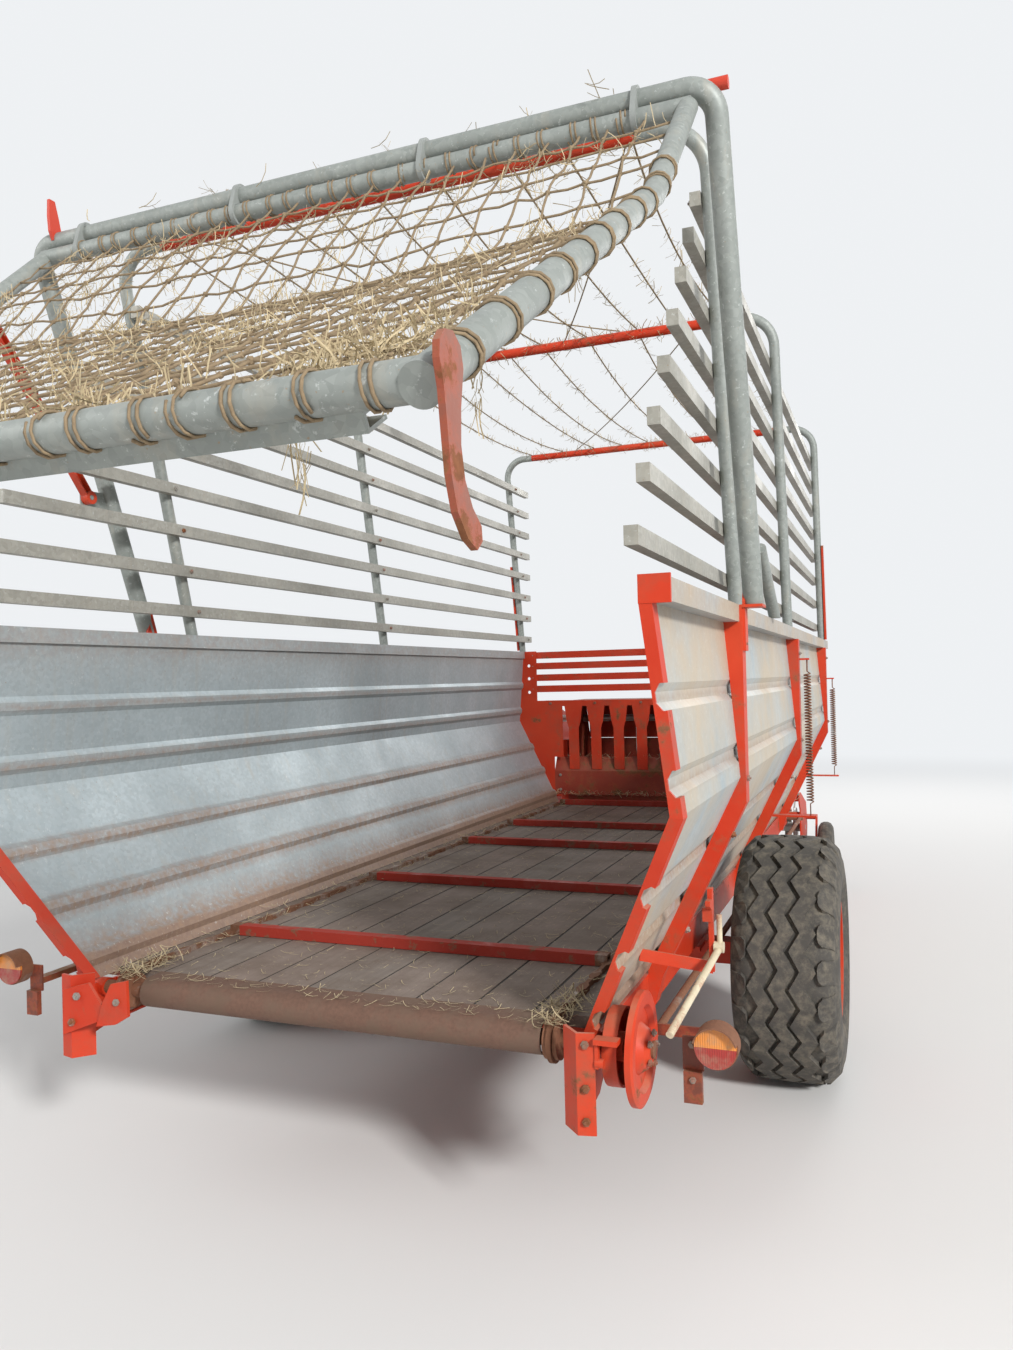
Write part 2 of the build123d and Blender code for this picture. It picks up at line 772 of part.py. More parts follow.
def net_panel(start, end, rows):
    """Flat part of the net between two lines across the tailgate."""
    length = hypot(end[0] - start[0], end[1] - start[1])
    half = gate_x - gate_radius
    cell_x = (2 * half - net_cord) / net_columns
    cell_y = (length - net_cord) / rows
    sheet = Pos(length / 2, 0) * Rectangle(length, 2 * half)
    holes = Pos(length / 2, 0) * GridLocations(cell_y, cell_x, rows, net_columns)
    sheet -= holes * Rectangle(cell_y - net_cord, cell_x - net_cord)
    heading = Vector(0, end[0] - start[0], end[1] - start[1])
    place = Plane(origin=(0, *start), x_dir=heading, z_dir=heading.cross(Vector(1, 0, 0)))
    return extrude(place * sheet, net_cord / 2, both=True)


def gate_net():
    """Rope net stretched over the tailgate frame."""
    upper = net_panel(along(gate_hinge, gate_bend, net_margin), gate_bend, net_rows_upper)
    lower = net_panel(gate_bend, along(gate_bend, gate_corner, gate_lower - gate_radius), net_rows_lower)
    return upper + lower


def gate_hook():
    """Flat latch hook at the lower corner of the tailgate."""
    y, z = gate_corner
    points = [
        (y - 44, z + 22), (y - 32, z + 36), (y - 12, z + 40), (y + 6, z + 30), (y + 12, z + 8), (y + 4, z - 34),
        (y + 2, z - 72), (y + 10, z - 106), (y + 28, z - 132), (y + 50, z - 148), (y + 52, z - 164),
        (y + 38, z - 175), (y + 14, z - 166), (y - 10, z - 142), (y - 24, z - 106), (y - 30, z - 66),
        (y - 36, z - 24), (y - 45, z + 4),
    ]
    x = gate_x + gate_radius
    return plate_x(points, x, x + hook_thickness)


def hoop_lever():
    """Short curved lever that stands on the strong hoop's crossbar at its left end."""
    y, z = gate_hoop_top_y, gate_hoop_top
    points = [(y - 30, z - 6), (y + 4, z + 20), (y - 8, z + 70), (y - 22, z + 118), (y - 44, z + 118),
              (y - 46, z + 66), (y - 42, z + 20)]
    x = -gate_x + gate_radius
    return plate_x(points, x, x + 10) - gate_hoop()


def gate_hoop_y(height):
    """Where the strong hoop's posts are along Y at a height."""
    share = (height - top_rail_top) / (gate_hoop_top - top_rail_top)
    return gate_hoop_foot_y + (gate_hoop_top_y - gate_hoop_foot_y) * share


def gate_strut():
    """Channel strut that props the left arm of the tailgate from the strong hoop's post."""
    high = along(gate_hinge, gate_bend, strut_reach)
    x = -gate_x - gate_radius - 2 * strut_gap - strut_size / 2
    bar = beam((x, *high), (x, *strut_low), strut_size, strut_size)
    inner = strut_size - 8
    bar -= beam((x + 5, *high), (x + 5, *strut_low), inner, inner)
    for end in (high, strut_low):
        bar += rod((x - strut_size / 2, *end), (x + strut_size / 2, *end), 22)
        bar -= rod((x - strut_size, *end), (x + strut_size, *end), 9)
    return bar


def strut_bracket():
    """Grey bracket on the strong hoop's left post, with the strut's lower pin."""
    y, z = strut_low
    x = -gate_x - gate_radius - 2 * strut_gap - strut_size
    post_y = gate_hoop_y(z) - gate_hoop_radius * 0.9
    plate = plate_x([(y - 20, z - 26), (post_y + 10, z - 30), (post_y, z + 30), (y - 20, z + 26)], x - 6, x)
    return plate + rod((x, y, z), (x + strut_size, y, z), 8)


def hoop_boss():
    """Short red boss on the strong hoop's right top corner."""
    y, z = gate_hoop_top_y + 20, gate_hoop_top + 8
    return rod((gate_hoop_x - 26, y, z), (gate_hoop_x + 30, y, z), 16) - gate_hoop()


def loose_brace():
    """Tube that leans on the right wall's top rail."""
    x, radius = 1050, 20
    brace = rod((x, 1106, 1837), (x, 1480, 1626), radius)
    return brace - block((x - 40, x + 40), (1300, 1600), (top_rail_top - 90, top_rail_top))


def front_bars():
    """Front lattice: a plate post on each side and four channels across."""
    post = plate_y([(front_half - 6, comb_top), (wall_x(comb_top), comb_top),
                    (wall_x(top_rail_bottom), top_rail_bottom - seat_clearance),
                    (top_rail_inner - seat_clearance, top_rail_bottom - seat_clearance),
                    (top_rail_inner - seat_clearance, top_rail_top), (front_half - 6, top_rail_top)],
                   front_y, front_y + 8)
    for z in (1345, 1440, 1530):
        post -= rod((front_hole_x, front_y - 5, z), (front_hole_x, front_y + 20, z), 11)
    lattice = post + left_of(post)
    for top in front_bar_tops:
        bar = block((-front_half, front_half), (front_y + 8, front_y + front_depth), (top - front_bar_height, top))
        lattice += bar - block((-front_half, front_half), (front_y + 12, front_y + front_depth),
                               (top - front_bar_height + 4, top - 4))
    return lattice


def front_comb():
    """Header with the notched comb under it and the steel strips between the feed tines."""
    neck = comb_top - header_height
    header = block((-header_half, header_half), (front_y, front_y + header_depth), (neck, comb_top))
    pitch = 2 * comb_half / tooth_count
    plate = header
    for index in range(tooth_count):
        x = -comb_half + (index + 0.5) * pitch
        half = pitch * 0.31
        tooth = [(x - half - 14, neck), (x + half + 14, neck), (x + half, comb_bottom + 40),
                 (x + half - 12, comb_bottom), (x - half + 12, comb_bottom), (x - half, comb_bottom + 40)]
        plate += plate_y(tooth, front_y, front_y + 6)
        low = sill_top - sill_fold[1] + 12
        plate += block((x - half + 14, x + half - 14), (front_y, front_y + 6), (low, comb_bottom + 5))
    return plate


def front_sill():
    """Folded sheet under the feed opening, upright below and leaning forward above."""
    reach, rise = sill_fold
    y, fold = front_y + sill_sheet, sill_top - rise
    points = [(front_y, sill_bottom), (front_y, fold), (front_y + reach, sill_top), (y + reach - 1, sill_top - 4),
              (y, fold - 2), (y, sill_bottom)]
    return plate_x(points, -sill_half, sill_half)


def front_side_panel():
    """Inclined panel that closes the corner between the sill, the comb and the wall."""
    low = sill_bottom + 20
    neck = comb_top - header_height
    points = [(wall_x(low), low), (wall_x(wall_bend[1]), wall_bend[1]), (wall_x(comb_top), comb_top),
              (header_half, comb_top), (header_half, neck), (comb_half, neck), (comb_half, sill_top + 2),
              (sill_half, sill_top + 2), (sill_half, low)]
    return plate_y(points, front_y, front_y + 5)


def feed_channel():
    """Side plates and curved bottom sheet that lead from the pick-up to the feed opening."""
    rear = front_y + sill_depth
    sheet = 6
    side = plate_x([(rear, rail_top), (4520, rail_top), (4600, 640), (channel_front, 760), (channel_front, 1000),
                    (4700, comb_top), (rear, comb_top)], channel_half, channel_half + sheet)
    side -= rod((channel_half - 9, feed_shaft_y, feed_shaft_z), (channel_half + 19, feed_shaft_y, feed_shaft_z),
                feed_shaft_radius + running_clearance)
    shelf = block((channel_half + sheet, rail_inner), (rear, rear + 40), (700, 712))
    arc = ThreePointArc((rear + 3, sill_top), (rear + 50, 770), (rear + 150, 670))
    bottom = extrude(Plane.YZ.offset(-channel_half) * trace(arc, 5), 2 * channel_half)
    channel = side + left_of(side) + bottom + shelf + left_of(shelf)
    back = block((-channel_half, channel_half), (channel_front - 5, channel_front), (760, 1000))
    top = block((-channel_half, channel_half), (front_y + header_depth, 4704), (comb_top - sheet, comb_top))
    below = block((-rail_inner, rail_inner), (rear, rear + sheet), (rail_top, 640))
    return channel + back + top + below


def feed_cover():
    """Curved hood over the front of the feed channel."""
    arc = ThreePointArc((channel_front - 5, 1003), (4770, 1150), (4708, 1270))
    return extrude(Plane.YZ.offset(-channel_half) * trace(arc, 5), 2 * channel_half)


def feed_rake():
    """Crank shaft with curved feed arms that sweep between the strips."""
    shaft = rod((-case_inner, feed_shaft_y, feed_shaft_z), (channel_half + 20, feed_shaft_y, feed_shaft_z),
                feed_shaft_radius)
    pitch = 2 * comb_half / tooth_count
    for index in range(1, tooth_count):
        x = -comb_half + index * pitch
        if abs(x) < channel_half - 20:
            arm = [(feed_shaft_y + 40, feed_shaft_z + 40), (feed_shaft_y - 40, feed_shaft_z + 40),
                   (feed_shaft_y - 100, feed_shaft_z - 60), (feed_shaft_y - 105, feed_shaft_z - 210),
                   (feed_shaft_y - 70, feed_shaft_z - 320), (feed_shaft_y - 60, feed_shaft_z - 200),
                   (feed_shaft_y - 30, feed_shaft_z - 60), (feed_shaft_y + 40, feed_shaft_z - 40)]
            shaft += plate_x(arm, x - 4, x + 4)
    return shaft


def pickup_frame():
    """Side plates, beams, hinge pins and wheel arms of the pick-up."""
    hinge_y, hinge_z = pickup_hinge
    side = [(hinge_y - 30, hinge_z - 30), (hinge_y - 30, hinge_z + 34), (hinge_y + 60, hinge_z + 34),
            (reel_y + 90, reel_z + 160), (reel_y + 150, reel_z), (reel_y + 60, reel_z - 170),
            (reel_y + stripper_beam_x - 30, reel_z - 175), (reel_y + stripper_beam_x - 30, reel_z + 160)]
    plate = plate_x(side, pickup_half, pickup_half + pickup_plate)
    plate -= rod((pickup_half - 9, reel_y, reel_z), (pickup_half + 19, reel_y, reel_z),
                 journal_radius + running_clearance)
    arm_x = gauge_x - gauge_width / 2 - 20
    arm = beam((arm_x, reel_y + 90, reel_z + 60), (arm_x, reel_y - 10, gauge_z), 12, 50)
    stub = rod((pickup_half + pickup_plate, reel_y + 90, reel_z + 60), (arm_x + 6, reel_y + 90, reel_z + 60), 18)
    pin = rod((arm_x - 12, reel_y - 10, gauge_z), (gauge_x + gauge_width / 2 + 12, reel_y - 10, gauge_z), 14)
    hinge = rod((rail_inner - 2, *pickup_hinge), (pickup_half, *pickup_hinge), pickup_pin)
    frame = plate + arm + stub + pin + hinge
    frame += left_of(frame)
    for side in (-1, 1):
        y, z = reel_y + stripper_beam_x, reel_z + side * stripper_beam_z
        frame += rod((-pickup_half, y, z), (pickup_half, y, z), stripper_beam_radius)
    return frame


def stripper_line():
    """Centre line of a stripper band around the reel, with a straight tail to each beam."""
    start = 100
    arc = CenterArc((0, 0), stripper_radius - 2, -start, 2 * start)
    tail_y = stripper_radius * sin(radians(start)) + (stripper_radius * cos(radians(start)) - stripper_beam_x) * cos(
        radians(start)) / sin(radians(start))
    return arc, (stripper_beam_x, tail_y)


def strippers():
    """Bent bands around the reel with the gaps that its tines pass through."""
    arc, (tail_x, tail_z) = stripper_line()
    line = Line((tail_x, -tail_z), arc @ 0) + arc + Line(arc @ 1, (tail_x, tail_z))
    band = trace(line, 4)
    pitch = 2 * reel_half / stripper_count
    bands = []
    for index in range(stripper_count):
        x = -reel_half + (index + 0.5) * pitch
        place = Plane(origin=(x - stripper_width / 2, reel_y, reel_z), x_dir=(0, 1, 0), z_dir=(1, 0, 0))
        bands.append(extrude(place * band, stripper_width))
    return Compound(bands)


def reel():
    """Tined reel: centre tube, two spiders, four tine bars and straight tines."""
    reach = pickup_half - 1
    piece = rod((-reach, reel_y, reel_z), (reach, reel_y, reel_z), 30)
    reach = pickup_half + pickup_plate
    piece += rod((-reach, reel_y, reel_z), (reach, reel_y, reel_z), journal_radius)
    pitch = 2 * reel_half / stripper_count
    for quarter in range(4):
        angle = radians(90 * quarter + 35)
        dy, dz = cos(angle), sin(angle)
        y, z = reel_y + reel_bar_radius * dy, reel_z + reel_bar_radius * dz
        piece += rod((-reel_half - 20, y, z), (reel_half + 20, y, z), 12)
        tip = (reel_y + reel_radius * dy, reel_z + reel_radius * dz)
        for index in range(stripper_count + 1):
            x = min(max(-reel_half + index * pitch, -reel_half + 8), reel_half - 8)
            tine = extrude(Plane(origin=(x, y, z), x_dir=(1, 0, 0), z_dir=(0, dy, dz))
                           * Rectangle(2 * tine_radius, 2 * tine_radius), reel_radius - reel_bar_radius)
            piece += tine
    for x in (-reel_half - 20, reel_half + 8):
        spider = Plane.YZ.offset(x) * Pos(reel_y, reel_z) * Circle(reel_bar_radius + 16)
        piece += extrude(spider, 12)
    return piece


def gauge_wheel():
    half = gauge_width / 2
    wheel = turned([(-half, 14.3), (-half, gauge_radius - 30), (-half + 14, gauge_radius - 8), (-12, gauge_radius),
                    (12, gauge_radius), (half - 14, gauge_radius - 8), (half, gauge_radius - 30), (half, 14.3)])
    return Pos(gauge_x, reel_y - 10, gauge_z) * wheel


def drawbar():
    """Two beams that run together over the pick-up into one beam behind the hitch."""
    knee_x, knee_y, knee_z = drawbar_knee
    slope = (knee_z - drawbar_start[2]) / (knee_y - drawbar_start[1])
    back = (drawbar_start[0], drawbar_start[1] - 50, drawbar_start[2] - 50 * slope)
    side = beam(back, drawbar_knee, drawbar_width, drawbar_height)
    side += beam(drawbar_knee, drawbar_neck, drawbar_width, drawbar_height)
    half = drawbar_height / 2 - 2
    side += rod((knee_x, knee_y, knee_z - half), (knee_x, knee_y, knee_z + half), drawbar_width / 2)
    bar = side + left_of(side)
    neck_y = drawbar_neck[1]
    slope = (drawbar_end[2] - drawbar_neck[2]) / (drawbar_end[1] - neck_y)
    ahead = (0, drawbar_end[1] + 40, drawbar_end[2] + 40 * slope)
    bar += beam((0, neck_y - 180, drawbar_neck[2] - 180 * slope), ahead, 110, 120)
    seat = (gearbox_z[0] - gearbox_seat, gearbox_z[0])
    for y, z in ((4930, (890, 930)), (gearbox_y[0] + 25, seat), (gearbox_y[1] - 25, seat)):
        share = (y - knee_y) / (neck_y - knee_y)
        x = knee_x + (drawbar_neck[0] - knee_x) * share
        bar += block((-x, x), (y - 25, y + 25), z)
    reach = rail_outer + 99
    bar -= block((-reach, reach), (drawbar_start[1] - 300, drawbar_start[1]), (700, 1300))
    bar -= block((-reach, reach), (drawbar_end[1], drawbar_end[1] + 200), (600, 1000))
    inner = stand_tube / 2 + 4
    top = drawbar_end[2] - 20
    low = stand_pivot_z - 28
    ear = plate_x([(stand_y - 45, top), (stand_y + 45, top), (stand_y + 45, stand_pivot_z + 40),
                   (stand_y + 26, low), (stand_y - 26, low), (stand_y - 45, stand_pivot_z + 40)], inner, inner + 8)
    ear -= rod((0, stand_y, stand_pivot_z), (99, stand_y, stand_pivot_z), 14 + running_clearance)
    return bar + ear + left_of(ear)


def hitch_eye():
    """Forged towing eye with an upright bore."""
    z = drawbar_end[2]
    half = hitch_thickness / 2
    ring = rod((0, hitch_y, z - half), (0, hitch_y, z + half), hitch_rim)
    shank = plate_z([(-42, drawbar_end[1]), (42, drawbar_end[1]), (34, hitch_y - 20), (-34, hitch_y - 20)],
                    z - half, z + half)
    collar = rod((0, drawbar_end[1], z), (0, drawbar_end[1] + 18, z), 48)
    return ring + shank + collar - rod((0, hitch_y, z - 90), (0, hitch_y, z + 90), hitch_bore / 2)


def gearbox():
    body = block((-gearbox_half, gearbox_half), gearbox_y, gearbox_z)
    body = chamfer(body.edges().filter_by(Axis.Y), 25)
    cover = rod((0, gearbox_y[1], stub_z), (0, gearbox_y[1] + gearbox_flange, stub_z), 62)
    return body + cover


def gearbox_cross_shaft():
    """Shaft from the gearbox to the drive case on the left."""
    y = (gearbox_y[0] + gearbox_y[1]) / 2
    return rod((-case_inner, y, stub_z + 40), (-gearbox_half, y, stub_z + 40), 22)


def input_stub():
    """Drive stub with a plain root and six splines."""
    start = gearbox_y[1] + gearbox_flange
    points = []
    for index in range(6):
        for step, depth in ((0.12, 0), (0.42, 0), (0.55, stub_spline_depth), (0.98, stub_spline_depth)):
            angle = radians(60 * (index + step))
            radius = stub_radius - depth
            points.append((radius * cos(angle), radius * sin(angle)))
    section = Plane(origin=(0, start, stub_z), z_dir=(0, 1, 0)) * outline(points)
    return extrude(section, stub_length) + rod((0, start, stub_z), (0, start + stub_plain, stub_z), stub_radius)


def stub_guard():
    start = gearbox_y[1] + gearbox_flange
    cup = rod((0, start, stub_z), (0, start + stub_length + 20, stub_z), guard_radius)
    return cup - rod((0, start + 4, stub_z), (0, start + stub_length + 20, stub_z), guard_radius - 3) - rod(
        (0, start, stub_z), (0, start + 4, stub_z), guard_hole)


def drive_case():
    """Sheet case over the side drive to the feed rake and the pick-up."""
    points = [(4550, 1210), (4600, 1250), (4740, 1250), (5280, 1100), (5310, 1060), (5310, 960), (5270, 920),
              (5100, 900), (4700, 1020), (4550, 1070)]
    return plate_x(points, -case_inner - case_thickness, -case_inner)


def stand():
    """Parking leg with its foot plate."""
    half = stand_tube / 2
    leg = block((-half, half), (stand_y - half, stand_y + half), (stand_plate, stand_pivot_z + 26))
    wide = stand_foot / 2
    foot = block((-wide, wide), (stand_y - wide + 20, stand_y + wide + 20), (0, stand_plate))
    pin = rod((-half - 14, stand_y, stand_pivot_z), (half + 14, stand_y, stand_pivot_z), 14)
    return leg + foot + pin


def ratchet_rod():
    """Long rod on the right that works the scraper floor's ratchet lever from the front."""
    x, z = ratchet_x, ratchet_z
    rear, front = rear_shaft_y + disc_radius + 22, rail_front - 30
    piece = rod((x, rear, z), (x, front, z), 11)
    piece += rod((rail_outer, front, z), (x + 16, front, z), 16)
    piece += rod((x - 5, rear, z), (x + 5, rear, z), 22)
    lever = plate_x([(rear_shaft_y - 24, shaft_z + 24), (rear_shaft_y + 24, shaft_z + 30), (rear + 16, z + 16),
                     (rear + 16, z - 18), (rear_shaft_y + 10, shaft_z - 36), (rear_shaft_y - 30, shaft_z - 20)],
                    x - 5, x + 5)
    return piece + lever - rod((x - 9, rear_shaft_y, shaft_z), (x + 9, rear_shaft_y, shaft_z), shaft_radius)


def spring(x, y, z_low, z_high, coil_radius, wire):
    """Tension spring as a plain rod over its coils, with a thin straight end at each eye."""
    piece = rod((x, y, z_low), (x, y, z_high), wire)
    return piece + rod((x, y, z_low + 60), (x, y, z_high - 60), coil_radius)


def springs_right():
    x = 1082
    rear = spring(x, 2360, 811, 1490, 17, 6)
    front = spring(x, 4080, 820, 1393, 17, 6)
    return Compound([rear, front])


def spring_hangers():
    x = 1082
    pieces = []
    for y, low, high in ((2360, 811, 1490), (4080, 820, 1393)):
        top = block((stanchion_face, x + 10), (y - 12, y + 12), (high, high + 8))
        reach = stanchion_x(low)
        base = block((reach, x + 24), (y - 20, y + 20), (low - 8, low))
        pieces += [top, base]
    return pieces


def catch_post(wall):
    """Red arm, post and jaw of the tailgate's catch, seated on the right wall."""
    foot = (wall_x(735), 277, 737)
    arm = beam(foot, (1005, 345, 700), 8, 30)
    post = block((996, 1008), (338, 352), (690, 850))
    jaw = plate_x([(320, 850), (352, 850), (352, 900), (330, 900), (330, 875), (300, 875), (300, 862)], 996, 1008)
    catch = arm + post + jaw + block((984, 1008), (325, 352), (818, 852)) - wall
    return max(catch.solids(), key=lambda solid: solid.volume)


def catch_rods():
    """Two round rods of the catch, on a boss on its post."""
    lever = rod((1022, 352, 752), (960, 30, 632), 9)
    boss = rod((1008, 345, 752), (1032, 345, 752), 14)
    return lever + boss + rod((1022, 345, 752), (1022, 345, 833), 7)


def front_stay():
    """Flat red stay along the outside of the front post."""
    foot, top = roof_hoops[-1]
    lean = (top - foot) / (hoop_top - top_rail_top)
    x = hoop_x + hoop_radius + 6
    low, high = 12, 590
    return beam((x, foot + lean * low, top_rail_top + low), (x, foot + lean * high, top_rail_top + high), 12, 36)


def wagon_nodes():
    wall = wall_right()
    edge = wall_edge(wall)
    posts = [roof_post(foot, top) for foot, top in roof_hoops]
    beams = [roof_beam(top) for foot, top in roof_hoops]
    end_plate = end_plate_right()
    return {
        "main_frame": main_frame(),
        "axle": axle(),
        "floor_planks": floor_planks(),
        "scraper_floor": scraper_floor(),
        "scraper_shafts": Compound([
            scraper_shaft(rear_shaft_y, rail_outer + 30, disc_x + 40),
            scraper_shaft(front_shaft_y, rail_inner, rail_inner),
        ]),
        "shaft_bearings_front": front_bearings(),
        "floor_lips": Compound([lip(rear_shaft_y, 1), lip(front_shaft_y, -1)]),
        "end_plates_rear": Compound([*both(end_plate).solids(), rear_lug_right()]),
        "corner_bracket_left": corner_bracket_left(),
        "ratchet_rod": ratchet_rod(),
        "scraper_drive_wheel": drive_wheel(),
        "scraper_drive_ring": drive_drum(),
        "wall_right": wall,
        "wall_left": left_of(wall),
        "wall_edges": both(edge),
        "stanchions_right": stanchions_right(),
        "stanchions_left": left_of(stanchions_right()),
        "gate_hoop": gate_hoop(),
        "gate_clamps": Compound([*gate_clamps().solids(), hoop_lever(), hoop_boss()]),
        "roof_posts": both(Compound(posts)),
        "roof_beams": Compound(beams),
        "side_slats_right": side_slats_right(),
        "side_slats_left": left_of(side_slats_right()),
        "gate_frame": gate_frame(),
        "gate_channel": gate_channel(),
        "gate_net": gate_net() - gate_frame(),
        "gate_latches": both(gate_hook()),
        "gate_strut": gate_strut(),
        "strut_bracket": Compound([strut_bracket() - gate_hoop(), loose_brace()]),
        "front_bars": front_bars(),
        "front_comb": front_comb(),
        "front_sill": front_sill(),
        "front_side_panels": both(front_side_panel()),
        "front_stays": both(front_stay()),
        "feed_channel": feed_channel(),
        "feed_cover": feed_cover(),
        "feed_rake": feed_rake(),
        "pickup_frame": pickup_frame(),
        "pickup_strippers": strippers(),
        "pickup_reel": reel(),
        "gauge_wheels": both(gauge_wheel()),
        "drawbar": drawbar(),
        "hitch_eye": hitch_eye(),
        "gearbox": gearbox() + gearbox_cross_shaft(),
        "input_stub": input_stub(),
        "input_guard": stub_guard(),
        "drive_case": drive_case(),
        "parking_stand": stand(),
        "spring_pair": springs_right(),
        "spring_hangers": Compound(spring_hangers() + [catch_post(wall)]),
        "gate_catch": catch_rods(),
        "lamp_brackets": both(lamp_bracket() + lamp_board()),
        "lamp_housings": both(lamp_housing()),
        "lamp_lenses_amber": both(lamp_lens(True)),
        "lamp_lenses_red": both(lamp_lens(False)),
        "tyre_right": tyre(),
        "tyre_left": left_of(tyre()),
        "rim_right": rim(),
        "rim_left": left_of(rim()),
    }


os.makedirs("parts", exist_ok=True)
nodes = wagon_nodes()
low = min(piece.bounding_box().min.Y for piece in nodes.values())
high = max(piece.bounding_box().max.Y for piece in nodes.values())
for name, piece in nodes.items():
    export_step(Pos(0, -(low + high) / 2, 0) * piece, f"parts/{name}.step")
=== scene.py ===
import random
from math import atan2, cos, pi, radians, sin, tau

import bmesh
import bpy
from mathutils import Matrix, Vector


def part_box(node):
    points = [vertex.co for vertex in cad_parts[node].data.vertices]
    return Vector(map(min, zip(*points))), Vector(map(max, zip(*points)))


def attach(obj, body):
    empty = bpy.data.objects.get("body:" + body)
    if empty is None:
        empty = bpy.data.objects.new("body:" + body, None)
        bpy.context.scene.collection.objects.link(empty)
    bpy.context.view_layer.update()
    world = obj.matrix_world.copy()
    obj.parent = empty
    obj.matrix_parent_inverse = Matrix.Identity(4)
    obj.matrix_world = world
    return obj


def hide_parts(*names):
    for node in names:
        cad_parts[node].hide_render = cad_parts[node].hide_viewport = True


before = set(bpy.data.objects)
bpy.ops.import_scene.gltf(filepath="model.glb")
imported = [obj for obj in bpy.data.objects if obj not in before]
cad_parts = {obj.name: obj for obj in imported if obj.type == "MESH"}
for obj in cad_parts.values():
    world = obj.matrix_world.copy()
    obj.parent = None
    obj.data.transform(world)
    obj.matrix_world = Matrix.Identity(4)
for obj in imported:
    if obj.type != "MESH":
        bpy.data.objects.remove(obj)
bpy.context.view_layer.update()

# Camera, floor and light. The camera stands behind the wagon's right rear corner at eye height, as the
# photograph was taken, and looks forward and to the left. The floor is a plain pale sheet that fades into the
# background, under a pale sky and three large soft lamps.
scene = bpy.context.scene
camera = bpy.data.objects.new("camera", bpy.data.cameras.new("camera"))
scene.collection.objects.link(camera)
turn_left, look_up, roll = radians(21.6), radians(0.307), radians(-1.406)
eye = (1.4564, -4.7566, 1.433)
sensor, focal_pixels, picture_height = 36, 991.718, 1350
ahead = Vector((-sin(turn_left) * cos(look_up), cos(turn_left) * cos(look_up), sin(look_up)))
level = Vector((cos(turn_left), sin(turn_left), 0))
across = level * cos(roll) + level.cross(ahead) * sin(roll)
turn = Matrix((across, across.cross(ahead), -ahead)).transposed().to_4x4()
camera.matrix_world = Matrix.Translation(eye) @ turn
camera.data.sensor_width = sensor
camera.data.lens = sensor * focal_pixels / picture_height
camera.data.clip_end = 200
scene.camera = camera


def new_finish(name):
    made = bpy.data.materials.new(name)
    made.use_nodes = True
    return made, made.node_tree, made.node_tree.nodes["Principled BSDF"]


def node(tree, kind, **settings):
    made = tree.nodes.new("ShaderNode" + kind)
    for key, value in settings.items():
        setattr(made, key, value)
    return made


def plug(tree, value, socket):
    """Joins an output to a socket, or sets the socket to a plain value."""
    if isinstance(value, bpy.types.NodeSocket):
        tree.links.new(value, socket)
    else:
        socket.default_value = value


def sums(tree, how, first, second):
    made = node(tree, "Math", operation=how, use_clamp=how in ("MULTIPLY", "MAXIMUM"))
    plug(tree, first, made.inputs[0])
    plug(tree, second, made.inputs[1])
    return made.outputs[0]


def shader_mix(tree, share, under, over):
    made = node(tree, "MixShader")
    for value, socket in zip((share, under, over), made.inputs):
        tree.links.new(value, socket)
    return made.outputs[0]


def seen_rays(tree):
    """1 for the rays that show the background: straight to the camera, off metal or through glass."""
    path = node(tree, "LightPath")
    share = sums(tree, "MAXIMUM", path.outputs["Is Camera Ray"], path.outputs["Is Glossy Ray"])
    return sums(tree, "MAXIMUM", share, path.outputs["Is Transmission Ray"])


floor_half, haze_start, haze_end = 60, 4.5, 14
backdrop = (0.86, 0.88, 0.90, 1)
floor = bpy.data.objects.new("floor", bpy.data.meshes.new("floor"))
floor_corners = [(floor_half * x, floor_half * y, 0) for x, y in ((-1, -1), (1, -1), (1, 1), (-1, 1))]
floor.data.from_pydata(floor_corners, [], [(0, 1, 2, 3)])
scene.collection.objects.link(floor)


def floor_finish():
    """A pale sheet that turns into the backdrop's colour far from the wagon."""
    made, tree, shader = new_finish("floor_finish")
    shader.inputs["Base Color"].default_value = (0.74, 0.73, 0.71, 1)
    shader.inputs["Roughness"].default_value = 0.9
    reach = node(tree, "VectorMath", operation="LENGTH")
    tree.links.new(node(tree, "TexCoord").outputs["Object"], reach.inputs[0])
    far_off = node(tree, "MapRange", interpolation_type="SMOOTHSTEP")
    far_off.inputs["From Min"].default_value = haze_start
    far_off.inputs["From Max"].default_value = haze_end
    tree.links.new(reach.outputs["Value"], far_off.inputs["Value"])
    haze = node(tree, "Emission")
    haze.inputs["Color"].default_value = backdrop
    share = sums(tree, "MULTIPLY", far_off.outputs[0], seen_rays(tree))
    shown = shader_mix(tree, share, shader.outputs[0], haze.outputs[0])
    tree.links.new(shown, tree.nodes["Material Output"].inputs[0])
    return made


floor.data.materials.append(floor_finish())


def studio_sky():
    """A soft pale sky for the light, and the backdrop's plain colour where the sky is seen."""
    made = bpy.data.worlds.new("studio")
    made.use_nodes = True
    tree = made.node_tree
    lit, shown = tree.nodes["Background"], node(tree, "Background")
    for sky, colour, strength in ((lit, (0.92, 0.95, 1.0, 1), 0.46), (shown, backdrop, 1.0)):
        sky.inputs["Color"].default_value = colour
        sky.inputs["Strength"].default_value = strength
    either = shader_mix(tree, seen_rays(tree), lit.outputs[0], shown.outputs[0])
    tree.links.new(either, tree.nodes["World Output"].inputs[0])
    return made


